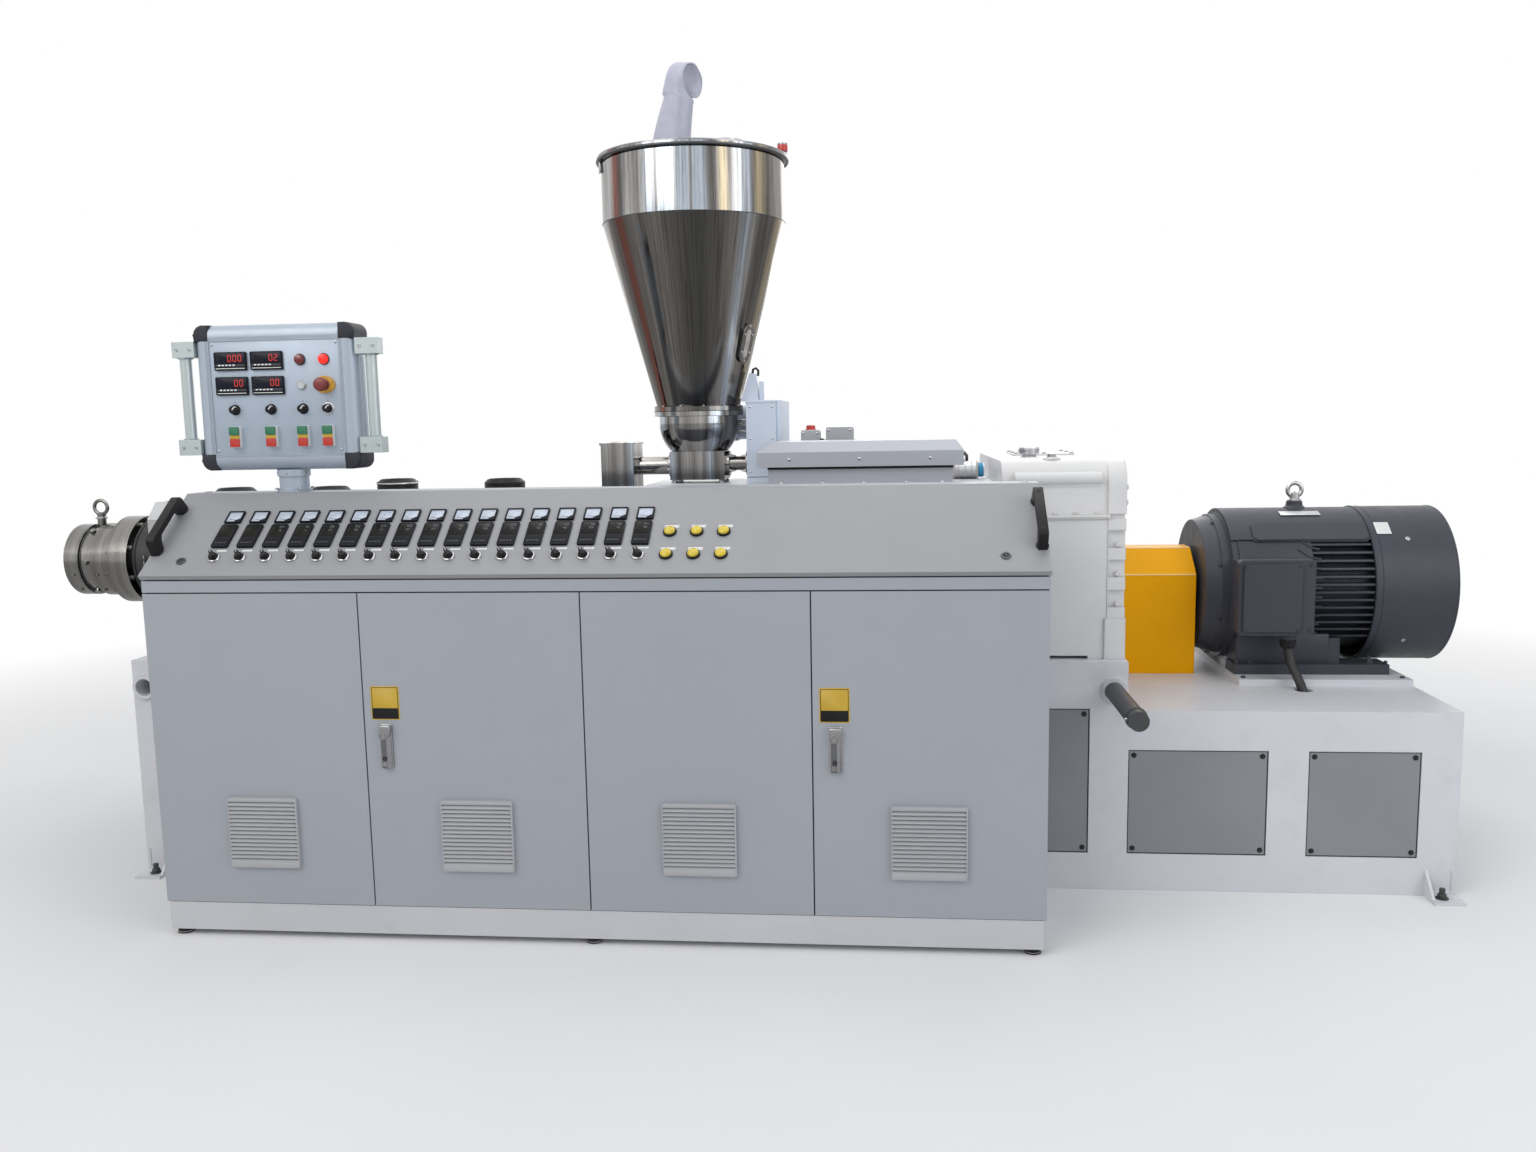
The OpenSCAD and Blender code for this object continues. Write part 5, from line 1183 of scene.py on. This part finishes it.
def make_fittings():
    p = Piece("junction_box_lids", "paint_box", "inside", "chrome", "red", "black")
    for x0, w, top in ((102, 66, 1528), (195, 96, 1538)):
        half = w / 2
        z = top - half - 4
        for side in SIDES:
            # A lid faces the front, and its twin the back
            front = shift(x0 + half, side * half, z) @ (facing_front(0) if side < 0 else spin(180) @ facing_front(0))
            p.prism(rounded(w + 3, w + 3, 7), 7, front, 2.4, 0, 3)
            p.prism(rounded(w + 0.4, w + 0.4, 6), 0.8, front @ shift(0, 0, -0.6), 0.2, 1, 1)
            for dx, dz in product(SIDES, SIDES):
                p.spun(front @ shift(dx * (half - 8), dz * (half - 8), 7), 16, 2, (4.4, 0), (4.2, 1.2), (2.6, 2),
                       (0, 2.2))
        p.lathe(((0, 0), (12, 0), (13, 3), (13, 12), (10, 16), (0, 16)), (x0 + w, 0, z - 8), X, 4, 28)
        p.lathe(((0, 0), (8, 0), (9, 6), (7, 20), (0, 20)), (x0 + w + 14, 0, z - 8), X, 4, 24)
    p.lathe(((0, 0), (20, 0), (20, 3), (17, 5), (17, 13), (14, 17), (0, 18)), (135, 0, 1528), Z, 3, 36)
    p.done("fitting_metal")

    o = Piece("oil_pump_trim", "pump", "blue", "chrome", "black")
    z = 1372
    for x, wide in ((656, 9), (739, 7)):
        o.lathe(((32.4, 0), (34, 1), (34, wide), (32.4, wide + 1)), (x, 0, z), X)
    o.lathe(((24.4, 0), (25.4, 1), (25.4, 18), (22, 22.6), (0, 23)), (747, 0, z), X, 1)
    for a in around(16):
        o.box(vec(757, 0, z) + 25 * spoke(a), (16, 2, 2), 0.5, 1, turned("X", a))
    for x in (676, 700, 724):
        o.ring((x, 0, z), X, 32.2, 1.4, 0, 44)
    round_bolts(o, 656, 27, 4, -X, 3.4, 3, 2, 45, z=z)
    o.tube(((690, 0, z + 30), (690, 2, z + 52), (700, 30, z + 62), (712, 80, z + 50), (716, 130, z + 10),
            (716, 150, 1341)), 6, 3, 12)
    o.rod((690, 0, z + 28), Z, 10, 12, 1.4, 2, 6)
    o.done("fitting_metal")


# ---------------------------------------------------------------- coupling guard and motor

GUARD_X0, GUARD_X1, GUARD_HALF = 1195, 1541, 156
MOTOR_X0, MOTOR_X1, COWL_X1 = 1645, 2127, 2408
MOTOR_AXIS = vec(0, SHAFT_Y, SHAFT_Z)


def make_guard():
    p = Piece("coupling_guard_bolts", "yellow", "chrome", "yellow_painted_highlight")
    y0, y1 = SHAFT_Y - GUARD_HALF, SHAFT_Y + GUARD_HALF
    for x in (1230, 1370, 1510):
        p.hexagon((x, y1, 640), Y, 9, 7, 1)
    # Rolled hems at both ends, and rods along the bend lines in pale yellow as painted highlights
    for x in (GUARD_X0 + 1.5, GUARD_X1 - 1.5):
        p.tube(((x, y0, 610), (x, y0, 977), (x, SHAFT_Y - 50, 1065), (x, SHAFT_Y + 50, 1065), (x, y1, 977),
                (x, y1, 610)), 2.6, 0, 10)
    for y, z in ((y0 + 0.8, 977), (SHAFT_Y - 50, 1064.2), (SHAFT_Y + 50, 1064.2), (y1 - 0.8, 977)):
        p.rod((GUARD_X0 + 2, y, z), X, 2.4, 342, 0.5, 2, 16)
    p.done("yellow_paint")

    c = Piece("coupling_pins", "rubber", "chrome")
    for a in around(6):
        place = MOTOR_AXIS + X * ((GUARD_X0 + GUARD_X1) / 2 - 92) + 78 * spoke(a)
        c.rod(place, X, 13, 184, 2, 1, 24)
        c.rod(place + X * 87, X, 17, 10, 1, 0, 24)
    c.done("barrel_steel")


def make_motor():
    p = Piece("motor_ribs", "motor", "chrome")
    y, z = SHAFT_Y, SHAFT_Z
    # Ribs and seat of the end bell
    for a in around(12, 15):
        for middle, x, size in ((205, 1586, (34, 74, 12)), (150, 1576, (14, 60, 12))):
            p.box(MOTOR_AXIS + X * x + spoke(a) * middle, size, 3, turn=turned("X", a))
    p.lathe(((96, 0), (96, 8), (84, 12), (60, 12), (60, 6), (40, 6)), (1548, y, z), -X)
    round_bolts(p, 1611, 250, 8, -X, 10, 8, 0, 22.5, y, z, Piece.hexagon)
    round_bolts(p, 1548, 76, 6, -X, 7, 6, y=y, z=z)
    # Machined joints of the frame: rings at both ends
    p.ring((MOTOR_X0 - 1, y, z), X, 262, 3, 0, 90)
    p.ring((MOTOR_X0 + 30, y, z), X, 275, 2, 0, 90)
    # Ledge line along the shoulder, front and back
    for side in SIDES:
        p.rod((MOTOR_X0 + 30, y + side * 214, z + 185), X, 4, MOTOR_X1 - MOTOR_X0 - 34, 1, 0, 16)
    # Jacking screws of the feet
    for side, x in product(SIDES, (1664, 2178)):
        p.rod((x, y + side * 262, 666), Z, 6, 12, 1, 0, 16)
    # Bright eye bolt over its boss
    eye = MOTOR_AXIS + X * (MOTOR_X0 + 282)
    p.lathe(((40, 0), (38, 6), (30, 12), (29, 20)), eye + Z * 278)
    p.lathe(((17, 0), (24, 1), (24, 6), (18, 10), (17.4, 30), (0, 36)), eye + Z * 306, Z, 1)
    p.ring(eye + Z * 348, Y, 25, 8, 1, 48, 14)
    p.done("motor_paint")

    # Plain flank behind the terminal box, from which the fins spring in curves, and the foot's web
    flank = Piece("motor_flanks", "motor")
    outline = arc(279.4, 139, 82, 20) + arc(262, 139, 82, 20)[::-1]
    flank.prism(outline, 252, along_x(1668, y, z), 2)
    for k in range(10):
        points = []
        for step in range(9):
            u = step / 8
            height = (-150 + 300 * k / 9) * (1 + 0.3 * (1 - u) ** 2)
            points.append((1872 + 74 * u, y - sqrt(280.5 ** 2 - height ** 2), z + height))
        flank.tube(points, 3.6)
    flank.span((1668, -77, 663), (1986, -58, 772), 3)
    # Raised pads with chamfered edges on the shoulder
    for side in SIDES:
        pad = shift(1921, y, z) @ turned("X", side * radians(43))
        flank.prism(rounded(400, 84, 12), 8, pad @ shift(0, 0, 275))
        flank.prism(rounded(396, 78, 10), 11, pad @ shift(0, 0, 278), 9, 0, 1)
    flank.done("motor_paint")

    t = Piece("terminal_box_screws", "motor", "black")
    x0, z0 = 1629, 792
    for dx, dy, dz in ((20, -236, 20), (20, -236, 244), (200, -236, 20), (200, -236, 244), (240, -226, 18),
                       (240, -226, 246)):
        t.socket((x0 + dx, dy, z0 + dz), -Y, 6, 4)
    gland = vec(x0 + 183, -180, 0)
    t.hexagon(gland + Z * 771, -Z, 29, 12, 1, False)
    t.lathe(((20, 0), (26, 0), (25, 14), (20, 20)), gland + Z * 762, -Z, 1)
    t.done("motor_paint")

    c = Piece("motor_cowl_trim", "motor", "chrome", "inside")
    for x, r, wire, sides in ((MOTOR_X1 + 3, 284.6, 2.4, 8), (MOTOR_X1 + 26, 284.2, 1.5, 8),
                              (COWL_X1 - 4, 280.6, 5, 10)):
        c.ring((x, y, z), X, r, wire, 0, 96, sides)
    for degree in (40, 140, 219, 321):
        d = spoke(radians(degree))
        c.socket(MOTOR_AXIS + X * 2250 + d * 283.6, d, 8, 4, 1)
    # Fan blades behind the ring grille
    for a in around(9):
        c.box(MOTOR_AXIS + X * (COWL_X1 - 45) + spoke(a) * 135, (26, 200, 4), 1, 2, turned("X", a) @ turned("Y", 0.5))
    c.done("motor_paint")

    n = Piece("motor_plates", "silver", "white")
    # Bare rating plate on the top front slope and a bare sticker on the cowl
    for x, r, degree, w, h, look in ((1916, 284.5, 110, 140, 34, 0), (2176, 284.6, 130, 50, 58, 1)):
        d, slope = spoke(radians(degree)), turned("X", radians(degree) - pi / 2)
        place = MOTOR_AXIS + X * x + d * r
        n.box(place + d, (w, h, 1.6), 0.5, look, slope)
        if look == 0:
            for dx, dy in product((-64, 64), (-12, 12)):
                n.screw(place + d * 1.8 + X * dx + slope @ vec(0, dy, 0), d, 2.6)
    n.done("fitting_metal")


# ---------------------------------------------------------------- hopper and feeder

HOPPER_X = -283
SOCK_X = -357
CONE_Z0, CONE_H = 1621, 659


def make_hopper():
    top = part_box("hopper")[1].z * 1000
    axis = vec(HOPPER_X, 0, 0)
    p = Piece("hopper_trim", "dark_steel", "chrome", "pale_glass", "inside", "frame_steel")
    # Rolled rim, clamp band under the lid and its toggle latches
    p.ring(axis + Z * (top - 9), Z, 344.5, 6, 0, 120, 12)
    p.ring(axis + Z * (CONE_Z0 + CONE_H), Z, 333.2, 1.6, 0, 120)
    for degree in (20, 80, 140, 200):
        d, turn = ray(radians(degree)), spin(degree)
        p.box(axis + Z * (top - 26) + d * 338, (8, 26, 54), 2, 1, turn)
        p.rod(axis + Z * (top - 8) + d * 344 + turn @ vec(0, -13, 0), turn @ Y, 4, 26, 1, 1, 16)
    # Bolts of the outlet ring and of the bowl's ring below it
    for a in around(12, 15):
        p.hexagon(axis + 159.5 * ray(a) + Z * CONE_Z0, Z, 4.5, 4, 1, False)
    p.ring(axis + Z * 1604, Z, 165.3, 1.2, 3, 90, 6)
    # Sight glass: dark slot, clamp frame and six screws, as the CAD frame lies on the cone
    rise, flare, narrow = 224, 179, 154
    seat = (shift(HOPPER_X, 0, CONE_Z0 + rise) @ spin(-28) @ shift(narrow + flare * rise / CONE_H - 2, 0, 0)
            @ turned("Y", pi / 2 + atan2(flare, CONE_H)))
    p.prism(rounded(142, 62, 30, 8), 3, seat @ shift(0, 0, 9), 1.5, 4)
    p.prism(rounded(104, 26, 12.9, 8), 1.2, seat @ shift(0, 0, 11.4), 0.5, 2)
    for dx, dy in ((-62, 0), (62, 0), (-32, -22.5), (32, -22.5), (-32, 22.5), (32, 22.5)):
        p.spun(seat @ shift(dx, dy, 11.8), 16, 1, (4.6, 0), (4.4, 2.6), (3, 4), (0, 4.4))
    p.done("hopper_steel")

    lid = Z * (top + 6)
    lamp = Piece("level_lamp", "red", "chrome")
    lamp.lathe(cap(16, 10, 13, 14), axis + lid + X * 329, Z, 1)
    lamp.lathe(((18.4, 14), (19, 16), (19, 34), (16.4, 40), (9, 42.8), (0, 43)), axis + lid + X * 329)
    lamp.done("switch_plastic")

    c = Piece("hopper_lid_clips", "chrome", "dark_steel")
    for x, y, radius, height in ((SOCK_X, 0, 70, 46), (-153, -60, 63, 43)):
        c.ring(vec(x, y, height - 4) + lid, Z, radius + 1, 3, 0, 60, 10)
        c.ring(vec(x, y, 1.5) + lid, Z, min(radius, 57) + 1.5, 2.4, 1, 60)
    c.ring(vec(SOCK_X, 0, 34) + lid, Z, 72, 4, 0, 60, 10)
    c.box(vec(SOCK_X, -76, 34) + lid, (26, 12, 9), 2)
    for a in around(8, 20):
        c.hexagon(axis + lid + 322 * ray(a), Z, 5, 4)
    c.done("fitting_metal")


SOCK_ROWS, SOCK_SIDES, SOCK_FOLD = 84, 132, 0.58


def make_sock():
    """Filter sock: a thin cloth sleeve that stands up, folds over and opens to the right."""
    base = vec(SOCK_X, 0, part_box("filter_sock")[0].z * 1000)
    rows, sides = SOCK_ROWS, SOCK_SIDES
    pivot = vec(75, 0, 171)
    rng = random.Random(11)
    waves = [(rng.randint(2, 7), rng.uniform(0, tau), rng.uniform(0.9, 2.3), rng.uniform(1, 5)) for _ in range(8)]
    verts, faces = [], []
    for i in range(rows + 1):
        t = i / rows
        if t < SOCK_FOLD:
            # Upright part, narrowing to the fold
            u = t / SOCK_FOLD
            centre = vec(30 * u ** 1.3, 0, pivot.z * u)
            along, wide, deep = vec(cos(0.12 * u), 0, -sin(0.12 * u)), 73 - 21 * u, 70 - 18 * u
        else:
            # Elbow round the inner corner, then the short open end
            u = (t - SOCK_FOLD) / (1 - SOCK_FOLD)
            turn = radians(173 - 83 * min(1, u / 0.86))
            reach = 104 + 8 * u + 24 * exp(-((degrees(turn) - 118) / 24) ** 2)
            along = -vec(cos(turn), 0, sin(turn))
            centre = pivot - along * reach / 2 + vec(6 * max(0, u - 0.86) / 0.14, 0, 0)
            wide, deep = reach / 2, 52 - 4 * u
        for k in range(sides):
            a = tau * k / sides
            fold = sum(size * sin(count * a + phase + lean * t) for count, phase, size, lean in waves)
            crease = 2.6 * sin(9 * a + 38 * t) * exp(-((t - 0.6) / 0.09) ** 2) * (0.5 + 0.5 * cos(a))
            gather = 1.6 * sin(26 * a) * exp(-(t / 0.05) ** 2)
            calm = 0.3 + 0.7 * sin(pi * min(1, t + 0.04))
            swell = (fold * calm + crease) * 0.9 + gather
            point = base + centre + along * (wide + swell) * cos(a) + Y * (deep + swell) * sin(a)
            # The open end looks a little towards the front
            if t > SOCK_FOLD:
                point.x += 0.6 * u * u * point.y
            verts.append(tuple(point / 1000))
    for i, k in product(range(rows), range(sides)):
        j = (k + 1) % sides
        faces.append((i * sides + k, i * sides + j, (i + 1) * sides + j, (i + 1) * sides + k))
    mesh = bpy.data.meshes.new("sock")
    mesh.from_pydata(verts, [], faces)
    mesh.materials.append(M["cloth"])
    mesh.polygons.foreach_set("use_smooth", [True] * len(faces))
    sock = link(bpy.data.objects.new("sock", mesh))
    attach(sock, "root")
    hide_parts("filter_sock")
    hem = Piece("sock_hem", "cloth")
    for row, wire in ((rows - 1, 2.2), (rows - 7, 0.9)):
        hem.tube([Vector(verts[row * sides + k]) * 1000 for k in range(sides)], wire, closed=True)
    hem.done("sock_fabric")


def make_feeder():
    p = Piece("feeder_bolts", "chrome", "dark_steel")
    for x, y in product((-385 + 14, -181 - 14), (-61, 61)):
        p.hexagon((x, y, 1340), Z, 12, 8, 0, False)
    # Clamp plates of the shaft housing on its bolts, towards the drive
    for x, side in ((-169, 1), (-106, -1)):
        for a in around(4, 45):
            place = vec(x, 0, 1409) + 38 * spoke(a)
            p.hexagon(place, X * side, 6, 6)
            p.rod(place, X * side, 3.4, 18, 0.6, 0, 14)
    p.ring((-395, 0, 1405), X, 44, 2, 0, 48)
    for y, z in product((-42, 42), (1390, 1420)):
        p.hexagon((-395, y, z), -X, 5, 5, 0, False)
    # Bowl seam and spacers behind its ring
    p.ring((HOPPER_X, 0, 1587), Z, 151, 1.4, 1, 90, 6)
    for z in (1552, 1566, 1525):
        p.rod((-140, 62, z), X, 5, 46, 1, 0, 16)
    p.done("hopper_steel")

    d = Piece("feed_drive_trim", "feeder", "inside", "chrome", "black")
    y0, y1 = -106, 300
    d.span((-94.6, y0 - 0.8, 1360), (16.6, y0 + 2, 1362), 0.5, 1)
    d.span((-96, y0 - 2, 1629), (18, y0 + 3, 1638.6), 1.4)
    d.span((-96, y0, 1634), (-93, y1, 1638.6), 1.2)
    for x, z in product((-80, 2), (1380, 1500, 1615)):
        d.screw((x, y0, z), -Y, 4, 2)
    d.span((15.4, y0 + 6, 1457), (35.6, y0 + 9, 1638), 1)
    for z in (1480, 1610):
        d.screw((34, y0 + 30, z), X, 4, 2)
    # Hook of the belt guard
    d.tube([(x, -38, z) for x, z in ((-76, 1732), (-72, 1752), (-62, 1757), (-53, 1748), (-54, 1728))], 4.5, 3, 10)
    d.span((-50, -56, 1637), (-34, -20, 1708), 2)
    # Cooling ribs and terminal box of the small gear motor
    my, mz = 232.5, 1560
    for a in around(16):
        d.box(vec(-232, my, mz) + spoke(a) * 68, (136, 7, 3), 0.8, turn=turned("X", a))
    for x in (-300, -160):
        d.ring((x, my, mz), X, 66, 3, 0, 60)
    d.box((-216, my, mz + 78), (70, 60, 26), 4)
    d.lathe(((0, 0), (60, 0), (54, 8), (20, 10), (0, 10)), (-324, my, mz), -X)
    d.done("feed_paint")

    q = Piece("duct_trim", "duct", "chrome")
    cx, half_w, half_h = -580.5, 61.5, 84
    flange = (-half_w - 18, 0, half_w + 18)
    for dx, dy in [*product(flange, (-half_h - 18, half_h + 18)), (flange[0], 0), (flange[2], 0)]:
        q.hexagon((cx + dx, dy, 1262), Z, 6, 5, 1)
    corners = [(cx + sx * (half_w + 3), sy * (half_h + 3), 1492) for sx, sy in ((-1, -1), (1, -1), (1, 1), (-1, 1))]
    for a, b in zip(corners, corners[1:] + corners[:1]):
        q.tube([a, b], 2.2)
    q.done("hopper_steel")


# ---------------------------------------------------------------- stage and light

FLOOR_SIZE = 60
# Distances over which the floor fades to white for the camera
FADE_START, FADE_END = 3.2, 6.5
LAMPS = (
    ("key", (-3.5, -5.5, 5.6), (0, -0.4, 0.9), 5.0, 215, (1, 0.98, 0.95)),
    ("fill", (5.5, -4.5, 3.6), (0.8, 0, 1.0), 4.5, 125, (0.93, 0.96, 1)),
    ("top", (0, 0.5, 6.2), (0, 0, 1.0), 6.0, 135, WHITE),
    ("back", (0.5, 5.5, 4.2), (0, 0, 1.2), 5.0, 95, WHITE),
)


def make_stage():
    """Pale floor that keeps the object's shadow near it and runs out to plain white."""
    mesh = bpy.data.meshes.new("floor")
    corners = [(x * FLOOR_SIZE, y * FLOOR_SIZE, 0) for x, y in ((-1, -1), (1, -1), (1, 1), (-1, 1))]
    mesh.from_pydata(corners, [], [(0, 1, 2, 3)])
    floor = link(bpy.data.objects.new("floor", mesh))
    n = new_material("floor_white")
    n.surface(n.mottle(0.6, 3.0, (0.80, 0.80, 0.80), (0.84, 0.84, 0.84)), 0.8)
    far = n.vectors("LENGTH", n.add("TexCoord", out="Object"), out="Value")
    seen = n.maths("MULTIPLY", n.spread(far, 0, 1, FADE_START, FADE_END), n.add("LightPath", out="Is Camera Ray"))
    outer = n.add("MixShader", seen, n.tree.nodes["Principled BSDF"].outputs[0], n.add("Emission", Strength=1.0))
    # Glossy surfaces see a plain pale floor
    mixed = n.add("MixShader", n.add("LightPath", out="Is Glossy Ray"), outer, n.add("Emission", Strength=0.5))
    n.fill(n.tree.nodes["Material Output"].inputs["Surface"], mixed)
    mesh.materials.append(n.owner)


def make_light():
    """White surroundings for the camera and for gloss, a soft pale sky for light, and four lamps."""
    world = bpy.data.worlds.new("studio")
    bpy.context.scene.world = world
    n = Nodes(world)
    sky = n.tree.nodes["Background"]
    n.fill(sky.inputs["Color"], (0.92, 0.95, 1, 1))
    n.fill(sky.inputs["Strength"], 0.42)
    white = n.add("Background", (*WHITE, 1), 1.0)
    direct = n.maths("MAXIMUM", n.add("LightPath", out="Is Camera Ray"), n.add("LightPath", out="Is Transmission Ray"))
    plain = n.maths("MAXIMUM", direct, n.add("LightPath", out="Is Glossy Ray"))
    n.fill(n.tree.nodes["World Output"].inputs["Surface"], n.add("MixShader", plain, sky.outputs[0], white))
    for name, place, target, size, power, color in LAMPS:
        data = bpy.data.lights.new(name, "AREA")
        data.size, data.energy, data.color = size, power, color
        lamp = link(bpy.data.objects.new(name, data))
        lamp.location = place
        lamp.rotation_euler = (Vector(target) - Vector(place)).to_track_quat("-Z", "Y").to_euler()
    bpy.context.scene.view_settings.view_transform = "Standard"


# ---------------------------------------------------------------- build

make_camera()
dress_nodes()
for number in (2, 4):
    make_lock(number)
    make_door_plate(number)
for number in (1, 2, 3, 4):
    make_grille_trim(number)
make_cabinet()
make_instruments()
make_switches()
make_bow_handles()
make_lid_trim()
make_operator_box()
make_operator_controls()
make_operator_post()
make_base()
make_barrel()
make_adapter()
make_gearbox()
make_hood()
make_fittings()
make_guard()
make_motor()
make_hopper()
make_sock()
make_feeder()
make_stage()
make_light()
